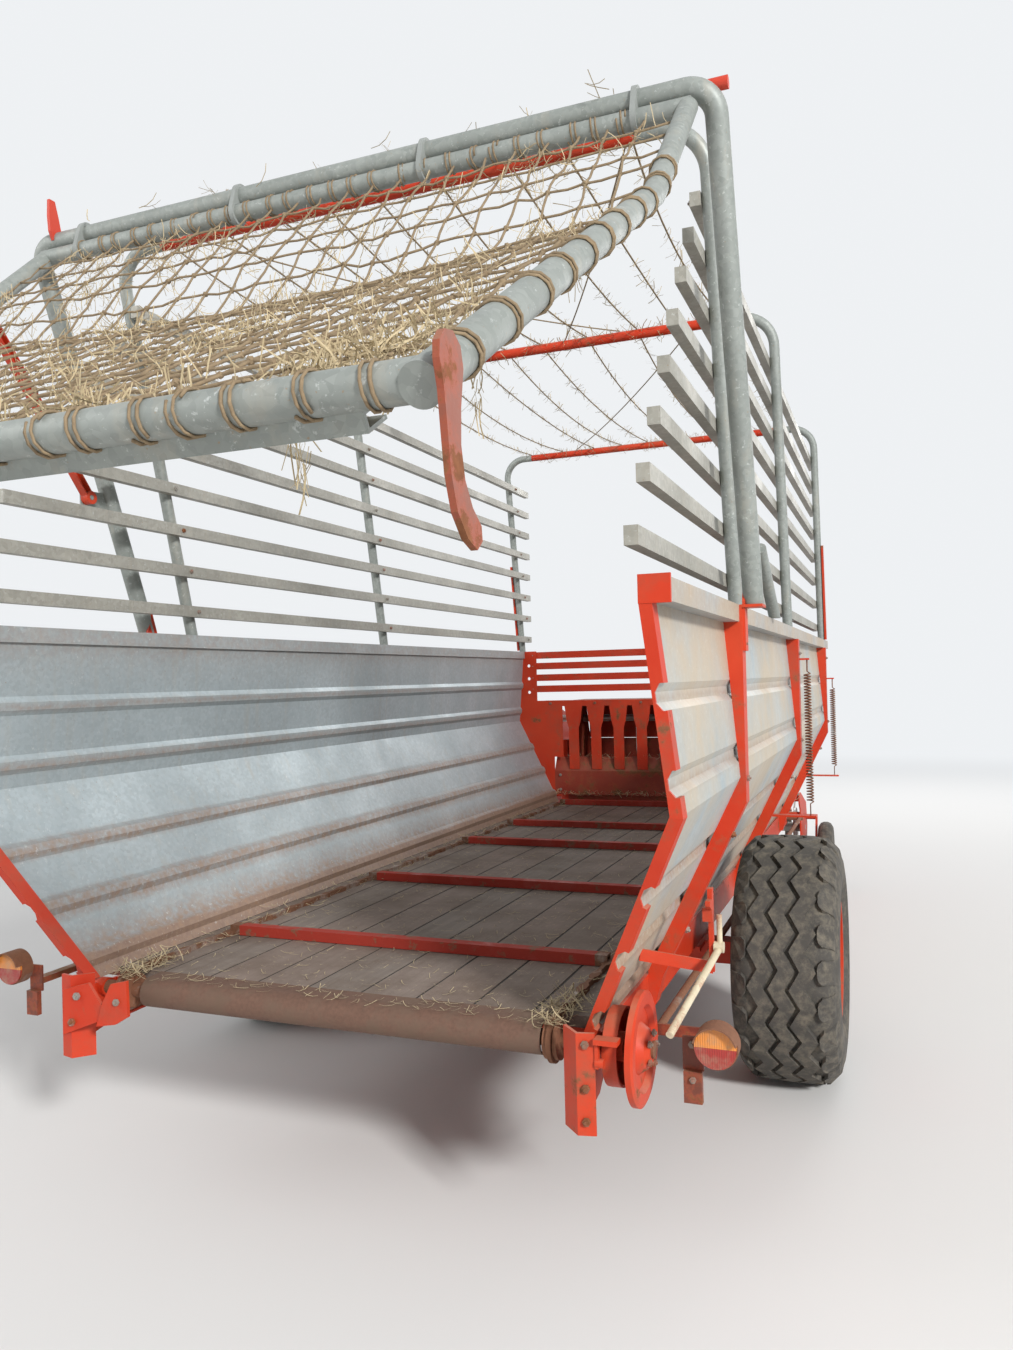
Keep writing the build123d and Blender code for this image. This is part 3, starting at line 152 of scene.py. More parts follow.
scene.world = studio_sky()
for name, place, aim, size, power in (
    ("key_light", (15.6, -14.5, 10.8), (0, -0.5, 1.2), 2.8, 5400),
    ("fill_light", (-7.0, -6.0, 5.0), (0, 0, 1.2), 5.0, 260),
    ("front_light", (2.0, 9.0, 6.0), (0, 0, 1.2), 5.0, 320),
):
    lamp = bpy.data.objects.new(name, bpy.data.lights.new(name, "AREA"))
    lamp.data.size = size
    lamp.data.energy = power
    lamp.location = place
    lamp.rotation_euler = (Vector(aim) - Vector(place)).to_track_quat("-Z", "Y").to_euler()
    scene.collection.objects.link(lamp)
scene.view_settings.view_transform = "Standard"


# Main frame, axle, drawbar and every other painted piece. Welded steel channels and box sections, sprayed
# orange red and faded in the sun, with rust where the paint has chipped and dust on what faces up.
def own_place(tree, scale=(1, 1, 1)):
    mapping = node(tree, "Mapping")
    mapping.inputs["Scale"].default_value = scale
    tree.links.new(node(tree, "TexCoord").outputs["Object"], mapping.inputs["Vector"])
    return mapping.outputs[0]


def parts_of(tree, vector):
    """The X, Y and Z outputs of a vector."""
    made = node(tree, "SeparateXYZ")
    tree.links.new(vector, made.inputs[0])
    return made.outputs


def clouds(tree, place, scale, detail=5.0, roughness=0.6, twist=0.0):
    made = node(tree, "TexNoise")
    tree.links.new(place, made.inputs["Vector"])
    for key, value in (("Scale", scale), ("Detail", detail), ("Roughness", roughness), ("Distortion", twist)):
        made.inputs[key].default_value = value
    return made.outputs[0]


def graded(tree, value, *stops):
    """Turns a value into a colour, or a share, by its stops."""
    made = node(tree, "ValToRGB")
    tree.links.new(value, made.inputs[0])
    ramp = made.color_ramp
    while len(ramp.elements) < len(stops):
        ramp.elements.new(0.5)
    for element, (at, tone) in zip(ramp.elements, stops):
        element.position = at
        element.color = (tone, tone, tone, 1) if isinstance(tone, (int, float)) else (*tone, 1)
    return made.outputs[0]


def mixed(tree, share, under, over):
    made = node(tree, "Mix", data_type="RGBA")
    plug(tree, share, made.inputs[0])
    for value, socket in ((under, made.inputs[6]), (over, made.inputs[7])):
        plug(tree, value if isinstance(value, bpy.types.NodeSocket) else (*value, 1), socket)
    return made.outputs[2]


def facing(tree):
    return parts_of(tree, node(tree, "NewGeometry").outputs["Normal"])


def relief(tree, shader, height, strength, depth):
    made = node(tree, "Bump")
    made.inputs["Strength"].default_value = strength
    made.inputs["Distance"].default_value = depth
    tree.links.new(height, made.inputs["Height"])
    tree.links.new(made.outputs[0], shader.inputs["Normal"])


def painted(name, fresh, faded, wear, dust=0.5):
    """Old paint: fresh and faded patches, rust in chips, and dust on top."""
    rust_dark, rust_light, chip_rim = (0.11, 0.035, 0.015), (0.30, 0.12, 0.05), (0.36, 0.07, 0.03)
    grime_brown, dust_tan = (0.20, 0.085, 0.050), (0.42, 0.33, 0.21)
    made, tree, shader = new_finish(name)
    place = own_place(tree)
    broad, chips = clouds(tree, place, 2.2), clouds(tree, place, 11, 9, 0.68)
    colour = mixed(tree, graded(tree, broad, (0.38, 0.0), (0.66, 1.0)), fresh, faded)
    fine = clouds(tree, place, 70, 4)
    rust = mixed(tree, fine, rust_dark, rust_light)
    worn = graded(tree, chips, (wear, 0.0), (wear + 0.05, 1.0))
    edge = graded(tree, chips, (wear - 0.06, 0.0), (wear, 0.5))
    colour = mixed(tree, edge, colour, chip_rim)
    colour = mixed(tree, worn, colour, rust)
    grime = graded(tree, clouds(tree, place, 5, 8, 0.72), (0.50, 0.0), (0.78, 0.6))
    colour = mixed(tree, grime, colour, grime_brown)
    upward = graded(tree, facing(tree)[2], (0.35, 0.0), (0.9, 1.0))
    settled = graded(tree, clouds(tree, place, 6, 7), (0.35, 0.0), (0.7, dust))
    colour = mixed(tree, sums(tree, "MULTIPLY", upward, settled), colour, dust_tan)
    tree.links.new(colour, shader.inputs["Base Color"])
    shader.inputs["Specular IOR Level"].default_value = 0.3
    tree.links.new(graded(tree, worn, (0.0, 0.48), (1.0, 0.86)), shader.inputs["Roughness"])
    relief(tree, shader, sums(tree, "ADD", worn, fine), 0.25, 0.0015)
    return made


def dress(material, *names):
    for name in names:
        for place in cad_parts[name].material_slots:
            place.material = material


red_paint = painted("red_paint", (0.50, 0.030, 0.007), (0.54, 0.050, 0.016), 0.635, 0.45)
dress(red_paint, "main_frame", "axle", "end_plates_rear", "stanchions_right", "stanchions_left", "front_comb",
      "roof_beams", "front_bars", "front_side_panels", "front_stays", "spring_hangers", "scraper_drive_ring",
      "corner_bracket_left", "gate_strut", "pickup_frame", "drawbar", "drive_case", "parking_stand",
      "wall_edges", "scraper_drive_wheel", "rim_right", "rim_left", "feed_cover")
dark_red_paint = painted("dark_red_paint", (0.26, 0.030, 0.016), (0.33, 0.060, 0.035), 0.55)
dress(dark_red_paint, "front_sill", "feed_channel")
dress(painted("rusty_red", (0.17, 0.030, 0.018), (0.14, 0.055, 0.035), 0.50), "lamp_brackets")


# Bolt heads on the chassis. Zinc-plated hexagon heads that hold the slats, the stanchions' feet, the front
# bars and the rear plates, each set on the face that it clamps.
stanchion_places = (-1.8985, -0.2385, 1.4815)
# Each roof hoop's place along Y, at the foot of its posts and at its crossbar.
roof_hoops = ((-1.7325, -2.0665), (-0.2415, -0.5135), (1.7815, 1.5515))
bolt_finish = painted("bolt_zinc", (0.30, 0.29, 0.26), (0.20, 0.15, 0.11), 0.52, 0.2)


def piece_of(name, vertices, faces, material, smooth=False):
    mesh = bpy.data.meshes.new(name)
    mesh.from_pydata([tuple(place) for place in vertices], [], faces)
    mesh.materials.append(material)
    for face in mesh.polygons:
        face.use_smooth = smooth
    made = bpy.data.objects.new(name, mesh)
    scene.collection.objects.link(made)
    return made


def spreader():
    """Geometry Nodes group that sets a unit on every point, by the point's turn and size."""
    group = bpy.data.node_groups.new("spread_units", "GeometryNodeTree")
    for label, kind in (("Points", "Geometry"), ("Unit", "Object"), ("Material", "Material")):
        group.interface.new_socket(label, in_out="INPUT", socket_type="NodeSocket" + kind)
    group.interface.new_socket("Geometry", in_out="OUTPUT", socket_type="NodeSocketGeometry")

    def add(kind, **settings):
        made = group.nodes.new(kind)
        for key, value in settings.items():
            setattr(made, key, value)
        return made

    source, result = add("NodeGroupInput"), add("NodeGroupOutput")
    unit = add("GeometryNodeObjectInfo")
    group.links.new(source.outputs["Unit"], unit.inputs["Object"])
    turn = add("GeometryNodeInputNamedAttribute", data_type="FLOAT_VECTOR")
    turn.inputs["Name"].default_value = "turn"
    size = add("GeometryNodeInputNamedAttribute", data_type="FLOAT")
    size.inputs["Name"].default_value = "size"
    euler = add("FunctionNodeEulerToRotation")
    group.links.new(turn.outputs[0], euler.inputs[0])
    points = add("GeometryNodeMeshToPoints")
    group.links.new(source.outputs["Points"], points.inputs[0])
    placed = add("GeometryNodeInstanceOnPoints")
    group.links.new(points.outputs[0], placed.inputs["Points"])
    group.links.new(unit.outputs["Geometry"], placed.inputs["Instance"])
    group.links.new(euler.outputs[0], placed.inputs["Rotation"])
    group.links.new(size.outputs[0], placed.inputs["Scale"])
    real, finish = add("GeometryNodeRealizeInstances"), add("GeometryNodeSetMaterial")
    group.links.new(placed.outputs[0], real.inputs[0])
    group.links.new(real.outputs[0], finish.inputs[0])
    group.links.new(source.outputs["Material"], finish.inputs["Material"])
    group.links.new(finish.outputs[0], result.inputs[0])
    return group


spread_units = spreader()


def spread(name, unit, material, spots):
    """One plain mesh of a unit set on many spots; a spot is a place, its turn and its size."""
    host = piece_of(name, [place for place, turn, size in spots], [], material)
    for kind, label, key, rank in (("FLOAT_VECTOR", "turn", "vector", 1), ("FLOAT", "size", "value", 2)):
        values = host.data.attributes.new(label, kind, "POINT")
        for index, spot in enumerate(spots):
            setattr(values.data[index], key, spot[rank])
    modifier = host.modifiers.new("units", "NODES")
    modifier.node_group = spread_units
    for item in spread_units.interface.items_tree:
        if item.name == "Unit":
            modifier[item.identifier] = unit
        elif item.name == "Material":
            modifier[item.identifier] = material
    host.update_tag()
    bpy.context.view_layer.update()
    made = host.evaluated_get(bpy.context.evaluated_depsgraph_get())
    plain = bpy.data.meshes.new_from_object(made)
    host.modifiers.clear()
    host.data = plain
    bpy.data.objects.remove(unit, do_unlink=True)
    return host


def hexagon_head(name):
    """Bolt head along X with a short threaded end on its face."""
    radius, depth, sides = 0.010, 0.007, 6
    vertices, faces = [], []
    for girth, x0, x1 in ((radius, 0, depth), (radius * 0.45, depth, depth * 1.7)):
        start = len(vertices)
        for x in (x0, x1):
            for angle in [tau * k / sides for k in range(sides)]:
                vertices.append((x, girth * cos(angle), girth * sin(angle)))
        faces += [(start + k, start + (k + 1) % sides, start + sides + (k + 1) % sides, start + sides + k)
                  for k in range(sides)]
        faces.append(tuple(start + sides + k for k in range(sides)))
        faces.append(tuple(start + k for k in reversed(range(sides))))
    return piece_of(name, vertices, faces, bolt_finish)


def frame_bolts():
    """Bolts of the stanchions: on the leaning lower face, square to it, and on the upright face above."""
    flare, lean = 0.4927, 0.458
    foot_x, foot_z, upper_x = 0.7995, 0.5656, 1.0505
    spots = []
    for y in stanchion_places:
        for z in (0.605, 0.70, 0.98):
            x = foot_x + (z - foot_z) * flare
            spots += [((x, y, z), (0, lean, 0), 1.0), ((-x, y, z), (0, pi - lean, 0), 1.0)]
        for side, turn in ((1, 0), (-1, pi)):
            spots += [((side * upper_x, y, z), (0, 0, turn), 0.9) for z in (1.14, 1.52)]
    return spots


def slat_bolts():
    """Bolts on the inside of the hoops' leaning posts, one for each slat that reaches the post."""
    slat_count, lowest, pitch, inner_x = 8, 1.715, 0.146, 0.954
    foot_height, post_height = 1.63, 1.3
    rear_end, rear_step = -2.8385, 0.114
    spots = []
    for foot, top in roof_hoops:
        for row in range(slat_count):
            z = lowest + pitch * row
            y = foot + (top - foot) * (z - foot_height) / post_height
            if y > rear_end + rear_step * row:
                spots += [((inner_x, y, z), (0, 0, pi), 0.8), ((-inner_x, y, z), (0, 0, 0), 0.8)]
    return spots


def bolts_to_rear():
    """Bolts that face the rear, at the front bars, the comb, the sill, the lamps and the end plates."""
    both = (-1, 1)
    # Across, along, height and size.
    rows = [(side * 0.925, 1.7695, z, 0.9) for z in (1.601, 1.526, 1.445, 1.367) for side in both]
    rows += [(side * x, 1.7615, 1.265, 1.0) for side in both for x in (0.16, 0.48, 0.80)]
    rows += [(side * 0.74, 1.7615, z, 1.0) for side in both for z in (0.67, 0.77)]
    rows += [(0.995, -2.4925, 0.59, 0.9), (0.998, -2.5085, 0.515, 0.8)]
    rows += [(0.771, -2.5965, z, 1.0) for z in (0.60, 0.50, 0.425)]
    rows += [(-0.715, -2.6105, 0.575, 1.1), (-0.735, -2.6105, 0.50, 1.1), (-0.565, -2.6205, 0.575, 1.0)]
    return [((x, y, z), (0, 0, -pi / 2), size) for x, y, z, size in rows]


def disc_bolts():
    """Five bolts round the middle of the floor drive's disc."""
    face_x, middle_y, middle_z, radius, count = 0.894, -2.4685, 0.558, 0.037, 5
    angles = [tau * k / count for k in range(count)]
    return [((face_x, middle_y + radius * cos(angle), middle_z + radius * sin(angle)), (angle, 0, 0), 0.9)
            for angle in angles]


bolt_spots = frame_bolts() + slat_bolts() + bolts_to_rear() + disc_bolts()
bolts = spread("chassis_bolts", hexagon_head("bolt_unit"), bolt_finish, bolt_spots)
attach(bolts, "chassis")


# Floor planks. Nine softwood boards laid lengthwise between the rails, never painted: grey-brown, furred
# along the grain, with patches of dirt, painted shade along the seams between boards and chaff trodden in.
def plank_wood():
    plank_pitch, seam_share = 0.16555, 0.028
    wood_dark, wood_light, warm = (0.105, 0.080, 0.066), (0.30, 0.25, 0.21), (0.24, 0.16, 0.125)
    dirt_brown, painted_seam_shade, chaff_tan = (0.12, 0.082, 0.058), (0.018, 0.014, 0.011), (0.52, 0.43, 0.27)
    made, tree, shader = new_finish("plank_wood")
    place = own_place(tree)
    low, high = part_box("floor_planks")
    along = sums(tree, "DIVIDE", sums(tree, "SUBTRACT", parts_of(tree, place)[0], low[0]), plank_pitch)
    board = sums(tree, "FLOOR", along, 0)
    tone = node(tree, "TexWhiteNoise", noise_dimensions="1D")
    tree.links.new(board, tone.inputs["W"])
    grain = clouds(tree, own_place(tree, (46, 1.6, 46)), 1.0, 8, 0.7, 0.4)
    fibre = clouds(tree, own_place(tree, (260, 5, 260)), 1.0, 3)
    colour = mixed(tree, grain, wood_dark, wood_light)
    colour = mixed(tree, sums(tree, "MULTIPLY", tone.outputs[0], 0.45), colour, warm)
    dirt = graded(tree, clouds(tree, place, 3.2, 8, 0.7), (0.42, 0.0), (0.68, 0.85))
    colour = mixed(tree, dirt, colour, dirt_brown)
    # Painted shade: a near-black band about 5 mm wide along each seam, where the gap between boards lies in
    # shadow.
    seam = sums(tree, "LESS_THAN", sums(tree, "FRACT", along, 0), seam_share)
    colour = mixed(tree, seam, colour, painted_seam_shade)
    chaff = graded(tree, clouds(tree, place, 34, 8, 0.8), (0.60, 0.0), (0.68, 0.7))
    colour = mixed(tree, chaff, colour, chaff_tan)
    tree.links.new(colour, shader.inputs["Base Color"])
    shader.inputs["Roughness"].default_value = 0.88
    relief(tree, shader, sums(tree, "ADD", grain, fibre), 0.5, 0.002)
    return made


dress(plank_wood(), "floor_planks")


# Scraper floor, shafts and lips. Welded link chain of bare steel run brown and bright, with channel slats
# painted red across it, over turned shafts; the lips are rolled sheet gone to rust.
def worn_steel(name, dark, bright, share=0.5, shine=0.45):
    """Bare steel: rust with rubbed bright places."""
    made, tree, shader = new_finish(name)
    place = own_place(tree)
    patch, fine = clouds(tree, place, 9, 8, 0.65), clouds(tree, place, 90, 5)
    rust = mixed(tree, fine, dark, tuple(min(1, value * 2.1) for value in dark))
    rubbed = graded(tree, patch, (1 - share - 0.08, 0.0), (1 - share + 0.08, 1.0))
    colour = mixed(tree, rubbed, rust, bright)
    tree.links.new(colour, shader.inputs["Base Color"])
    tree.links.new(graded(tree, rubbed, (0.0, 0.0), (1.0, 0.7)), shader.inputs["Metallic"])
    tree.links.new(graded(tree, rubbed, (0.0, 0.85), (1.0, shine)), shader.inputs["Roughness"])
    relief(tree, shader, sums(tree, "ADD", fine, patch), 0.35, 0.002)
    return made, tree, shader, colour


rusty_steel = worn_steel("rusty_steel", (0.12, 0.05, 0.025), (0.34, 0.30, 0.26), 0.34)[0]
lip_steel = worn_steel("lip_steel", (0.085, 0.045, 0.030), (0.19, 0.125, 0.090), 0.48, 0.8)[0]
bare_steel = worn_steel("bare_steel", (0.16, 0.10, 0.07), (0.48, 0.46, 0.43), 0.6)[0]


def scraper_finish():
    """Red on the slats, between the chains; bare steel on the chains."""
    paint_end = 0.618
    red, dull_red, rubbed_brown = (0.38, 0.026, 0.010), (0.26, 0.023, 0.012), (0.19, 0.075, 0.04)
    made, tree, shader, steel = worn_steel("scraper_finish", (0.12, 0.055, 0.03), (0.36, 0.31, 0.27), 0.42)
    place = own_place(tree)
    inside = sums(tree, "LESS_THAN", sums(tree, "ABSOLUTE", parts_of(tree, place)[0], 0), paint_end)
    worn = graded(tree, clouds(tree, place, 16, 9, 0.7), (0.56, 0.0), (0.62, 1.0))
    paint = mixed(tree, worn, mixed(tree, clouds(tree, place, 3, 3), red, dull_red), rubbed_brown)
    tree.links.new(mixed(tree, inside, steel, paint), shader.inputs["Base Color"])
    metal = sums(tree, "MULTIPLY", sums(tree, "SUBTRACT", 1.0, inside), 0.5)
    tree.links.new(metal, shader.inputs["Metallic"])
    return made


dress(scraper_finish(), "scraper_floor")
dress(rusty_steel, "scraper_shafts", "ratchet_rod", "hitch_eye")
dress(lip_steel, "floor_lips")
dress(bare_steel, "feed_rake", "pickup_reel", "input_stub", "shaft_bearings_front")


# Side walls, slats and tubes. Galvanised wall sheet with five rolled ribs, flared out to the bend and spot
# welded to the stanchions, with slats and bent tubes above it: dull spangled zinc, with earth on the ribs and
# rust along the walls' foot.
def zinc(name, dull, fresh, stains=()):
    """Spangled zinc; stains are heights above ground and how dirty the sheet is there."""
    drip_tan, speck_brown, bloom_grey = (0.42, 0.37, 0.29), (0.30, 0.20, 0.12), (0.60, 0.62, 0.60)
    made, tree, shader = new_finish(name)
    place = own_place(tree)
    spangle = node(tree, "TexVoronoi")
    tree.links.new(place, spangle.inputs["Vector"])
    spangle.inputs["Scale"].default_value = 85
    grey = node(tree, "RGBToBW")
    tree.links.new(spangle.outputs["Color"], grey.inputs[0])
    broad, fine = clouds(tree, place, 3.0, 6), clouds(tree, place, 45, 6)
    colour = mixed(tree, grey.outputs[0], dull, fresh)
    duller = tuple(0.85 * value for value in dull)
    colour = mixed(tree, graded(tree, broad, (0.35, 0.0), (0.7, 0.7)), colour, duller)
    drips = clouds(tree, own_place(tree, (22, 22, 0.8)), 1.0, 6)
    colour = mixed(tree, graded(tree, drips, (0.55, 0.0), (0.78, 0.4)), colour, drip_tan)
    metal = 0.2
    if stains:
        colour, metal = stained(tree, place, colour, fine, stains)
    specks = graded(tree, clouds(tree, place, 120, 3), (0.68, 0.0), (0.74, 0.8))
    colour = mixed(tree, specks, colour, speck_brown)
    bloom = graded(tree, clouds(tree, place, 75, 5, 0.75), (0.60, 0.0), (0.68, 0.55))
    colour = mixed(tree, bloom, colour, bloom_grey)
    tree.links.new(colour, shader.inputs["Base Color"])
    plug(tree, metal, shader.inputs["Metallic"])
    tree.links.new(graded(tree, broad, (0.3, 0.42), (0.7, 0.62)), shader.inputs["Roughness"])
    dents = clouds(tree, place, 5, 3)
    relief(tree, shader, sums(tree, "ADD", dents, sums(tree, "MULTIPLY", fine, 0.08)), 0.35, 0.012)
    return made


def stained(tree, place, colour, fine, stains):
    """Sand-coloured dust on the outside, and soil at the stains' heights, which wander a little."""
    sand_tan, soil_dark, soil_light = (0.50, 0.41, 0.29), (0.15, 0.070, 0.045), (0.36, 0.235, 0.150)
    wall_foot = 0.58
    split = parts_of(tree, place)
    outside = sums(tree, "GREATER_THAN", sums(tree, "MULTIPLY", split[0], facing(tree)[0]), 0)
    sand = graded(tree, clouds(tree, place, 2.2, 8, 0.62), (0.36, 0.0), (0.60, 0.85))
    colour = mixed(tree, sums(tree, "MULTIPLY", sand, outside), colour, sand_tan)
    wander = sums(tree, "MULTIPLY", sums(tree, "SUBTRACT", clouds(tree, place, 4, 8, 0.7), 0.5), 0.06)
    height = sums(tree, "SUBTRACT", sums(tree, "ADD", split[2], wander), wall_foot)
    share = graded(tree, height, *((at - wall_foot, amount) for at, amount in stains))
    soil = mixed(tree, fine, soil_dark, soil_light)
    spotted = sums(tree, "MULTIPLY", share, graded(tree, fine, (0.30, 0.35), (0.62, 1.0)))
    spotted = sums(tree, "MAXIMUM", spotted, graded(tree, share, (0.78, 0.0), (0.97, 0.92)))
    return mixed(tree, spotted, colour, soil), graded(tree, spotted, (0.0, 0.2), (0.6, 0.0))


# Height above ground and how dirty: the foot, the five ribs and the edge below the top rail.
wall_stains = (
    (0.58, 1.0), (0.66, 0.97), (0.70, 0.55), (0.75, 0.15), (0.785, 0.85), (0.82, 0.80), (0.84, 0.12),
    (0.93, 0.10), (0.955, 0.85), (0.98, 0.70), (1.0, 0.08), (1.18, 0.05), (1.205, 0.65), (1.235, 0.05),
    (1.37, 0.08), (1.39, 0.60), (1.41, 0.05), (1.52, 0.20), (1.57, 0.45),
)
wall_zinc = zinc("wall_zinc", (0.355, 0.415, 0.435), (0.455, 0.525, 0.545), wall_stains)
dress(wall_zinc, "wall_right", "wall_left")
slat_zinc = zinc("slat_zinc", (0.29, 0.280, 0.240), (0.41, 0.395, 0.345))
dress(slat_zinc, "side_slats_right", "side_slats_left", "pickup_strippers")
tube_zinc = zinc("tube_zinc", (0.235, 0.255, 0.235), (0.33, 0.35, 0.325))
dress(tube_zinc, "gate_hoop", "roof_posts", "gate_frame", "gate_channel", "strut_bracket")


# Straps, lever and boss on the strong hoop, and the catch's rods. Galvanised straps that clamp the tailgate's
# hinge tube; the lever and the boss at the hoop's ends are painted red, and the rods are painted cream.
def clamp_finish():
    red_from, red = 0.93, (0.50, 0.040, 0.015)
    made, tree, shader = new_finish("clamp_finish")
    place = own_place(tree)
    outer = sums(tree, "GREATER_THAN", sums(tree, "ABSOLUTE", parts_of(tree, place)[0], 0), red_from)
    patch = clouds(tree, place, 12, 6)
    metal = mixed(tree, patch, (0.19, 0.20, 0.19), (0.32, 0.34, 0.32))
    tree.links.new(mixed(tree, outer, metal, red), shader.inputs["Base Color"])
    shader.inputs["Roughness"].default_value = 0.5
    relief(tree, shader, patch, 0.2, 0.001)
    return made


dress(clamp_finish(), "gate_clamps")
dress(painted("cream_paint", (0.66, 0.60, 0.44), (0.56, 0.47, 0.32), 0.60), "gate_catch")


# Twines over the roof. Polypropylene binder twine drawn tight along the wagon over the hoops' crossbars and
# knotted round each bar that it crosses, with wisps of hay caught on it.
def rope_finish():
    made, tree, shader = new_finish("rope_fibre")
    place = own_place(tree)
    colour = mixed(tree, clouds(tree, place, 60, 5), (0.11, 0.075, 0.042), (0.37, 0.275, 0.165))
    tree.links.new(colour, shader.inputs["Base Color"])
    shader.inputs["Roughness"].default_value = 0.95
    relief(tree, shader, clouds(tree, place, 320, 3), 0.6, 0.002)
    return made


rope_fibre = rope_finish()
crossbar_places = [top for foot, top in roof_hoops]
crossbar_top = 2.953


def add_strand(vertices, faces, points, radius, sides=5):
    """Adds a round strand along a line of points, closed at its ends."""
    points = [Vector(point) for point in points]
    start = len(vertices)
    side = None
    for index, point in enumerate(points):
        ahead_point, back_point = points[min(index + 1, len(points) - 1)], points[max(index - 1, 0)]
        heading = (ahead_point - back_point).normalized()
        if side is None:
            side = heading.orthogonal().normalized()
        side = (side - heading * side.dot(heading)).normalized()
        other = heading.cross(side)
        for k in range(sides):
            vertices.append(point + radius * (side * cos(tau * k / sides) + other * sin(tau * k / sides)))
    for ring in range(len(points) - 1):
        low = start + ring * sides
        faces += [(low + k, low + (k + 1) % sides, low + sides + (k + 1) % sides, low + sides + k)
                  for k in range(sides)]
    faces.append(tuple(start + k for k in reversed(range(sides))))
    faces.append(tuple(start + (len(points) - 1) * sides + k for k in range(sides)))


def long_twine(x, pick):
    """A twine's points from the strong hoop over the crossbars, slack between them."""
    strong_bar = (-2.3455, 2.8885)
    bars = [strong_bar] + [(y, crossbar_top) for y in crossbar_places]
    points = []
    for (ya, za), (yb, zb) in zip(bars, bars[1:]):
        steps = max(3, int((yb - ya) / 0.12))
        sag = 0.028 * (yb - ya) * pick.uniform(0.5, 1.3)
        drift = pick.uniform(-0.03, 0.03)
        for k in range(steps):
            t = k / steps
            bow = 4 * t * (1 - t)
            points.append((x + drift * bow, ya + (yb - ya) * t, za + (zb - za) * t - sag * bow))
    points.append((x, *bars[-1]))
    return points


def roof_twines():
    """The twines, with the places along them that hay hangs on."""
    twine_count, first_x, gap, steps = 9, -0.80, 0.2, 12
    pick = random.Random(21)
    held = []
    vertices, faces = [], []
    for row in range(twine_count):
        points = long_twine(first_x + gap * row + pick.uniform(-0.03, 0.03), pick)
        add_strand(vertices, faces, points, 0.0032)
        held += points
    rear, middle, front = crossbar_places
    for ya, yb, xa, xb in ((rear, middle, -0.75, 0.35), (middle, front, 0.7, -0.5), (rear, middle, 0.8, 0.1)):
        points = []
        for k in range(steps + 1):
            t = k / steps
            points.append((xa + (xb - xa) * t, ya + (yb - ya) * t, 2.955 - 0.16 * t * (1 - t)))
        add_strand(vertices, faces, points, 0.0028)
    return piece_of("roof_twines", vertices, faces, rope_fibre, True), held


twines, held_places = roof_twines()
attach(twines, "chassis")


# Net on the tailgate. Square mesh of laid rope, knotted at each crossing, laced round the hinge tube, the two
# arms and the bottom tube, and bellied down by its own weight.
gate_hinge, gate_bend, gate_corner = (-2.3665, 2.803), (-2.7635, 2.415), (-3.8385, 1.745)
net_half, net_length = 0.991, 1.822


def gate_point(x, run):
    """A point on the net, from the hinge down along the tailgate."""
    sag, bend_drop, bend_reach = 0.055, 0.03, 0.16
    hinge, bend, corner = [Vector((0, *place)) for place in (gate_hinge, gate_bend, gate_corner)]
    upper, lower = (bend - hinge).length, (corner - bend).length
    if run < upper:
        point = hinge.lerp(bend, run / upper)
    else:
        point = bend.lerp(corner, (run - upper) / lower)
    belly = max(0.0, 1 - (x / net_half) ** 2) * sin(pi * run / (upper + lower))
    off_bend = (run - upper) / bend_reach
    point.z -= sag * belly + bend_drop * max(0.0, 1 - off_bend * off_bend)
    point.x = x
    return point


def finer(points, pick):
    """The line with a slack point added between neighbours."""
    made = [points[0]]
    for first, second in zip(points, points[1:]):
        slack = (pick.uniform(-0.004, 0.004), pick.uniform(-0.004, 0.004), pick.uniform(-0.008, 0.002))
        made += [(first + second) / 2 + Vector(slack), second]
    return made


def gate_rope_net():
    columns, rows, rope_radius, stray, knot_radius = 24, 20, 0.0031, 0.010, 0.0068
    pick = random.Random(5)
    vertices, faces, knots = [], [], []
    crossings = [[Vector()] * (columns + 1) for _ in range(rows + 1)]
    for row in range(rows + 1):
        for column in range(columns + 1):
            x = -net_half + 2 * net_half * column / columns
            run = net_length * row / rows
            if 0 < column < columns:
                x += pick.uniform(-stray, stray)
            if 0 < row < rows:
                run += pick.uniform(-stray, stray)
            crossings[row][column] = gate_point(x, run)
            if 0 < column < columns and 0 < row < rows:
                turn = (pick.uniform(0, pi), pick.uniform(0, pi), pick.uniform(0, pi))
                knots.append((crossings[row][column], turn, pick.uniform(0.8, 1.2)))
    for line in crossings:
        add_strand(vertices, faces, finer(line, pick), rope_radius)
    for line in zip(*crossings):
        add_strand(vertices, faces, finer(line, pick), rope_radius)
    net = piece_of("rope_net", vertices, faces, rope_fibre, True)
    ball = bmesh.new()
    bmesh.ops.create_icosphere(ball, subdivisions=1, radius=knot_radius)
    unit = bpy.data.objects.new("knot_unit", bpy.data.meshes.new("knot_unit"))
    ball.to_mesh(unit.data)
    ball.free()
    scene.collection.objects.link(unit)
    return net, spread("net_knots", unit, rope_fibre, knots)


rope_net, net_knots = gate_rope_net()
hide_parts("gate_net")
for net_piece in (rope_net, net_knots):
    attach(net_piece, "tailgate")


def lashing_unit():
    """Two turns of rope round a tube along X."""
    turns, steps, width, loop_radius, rope_radius = 2, 24, 0.024, 0.0275, 0.0026
    vertices, faces, points = [], [], []
    for k in range(steps + 1):
        angle = tau * turns * k / steps
        points.append((-width / 2 + width * k / steps, loop_radius * cos(angle), loop_radius * sin(angle)))
    add_strand(vertices, faces, points, rope_radius, 4)
    return piece_of("lashing_unit", vertices, faces, rope_fibre, True)


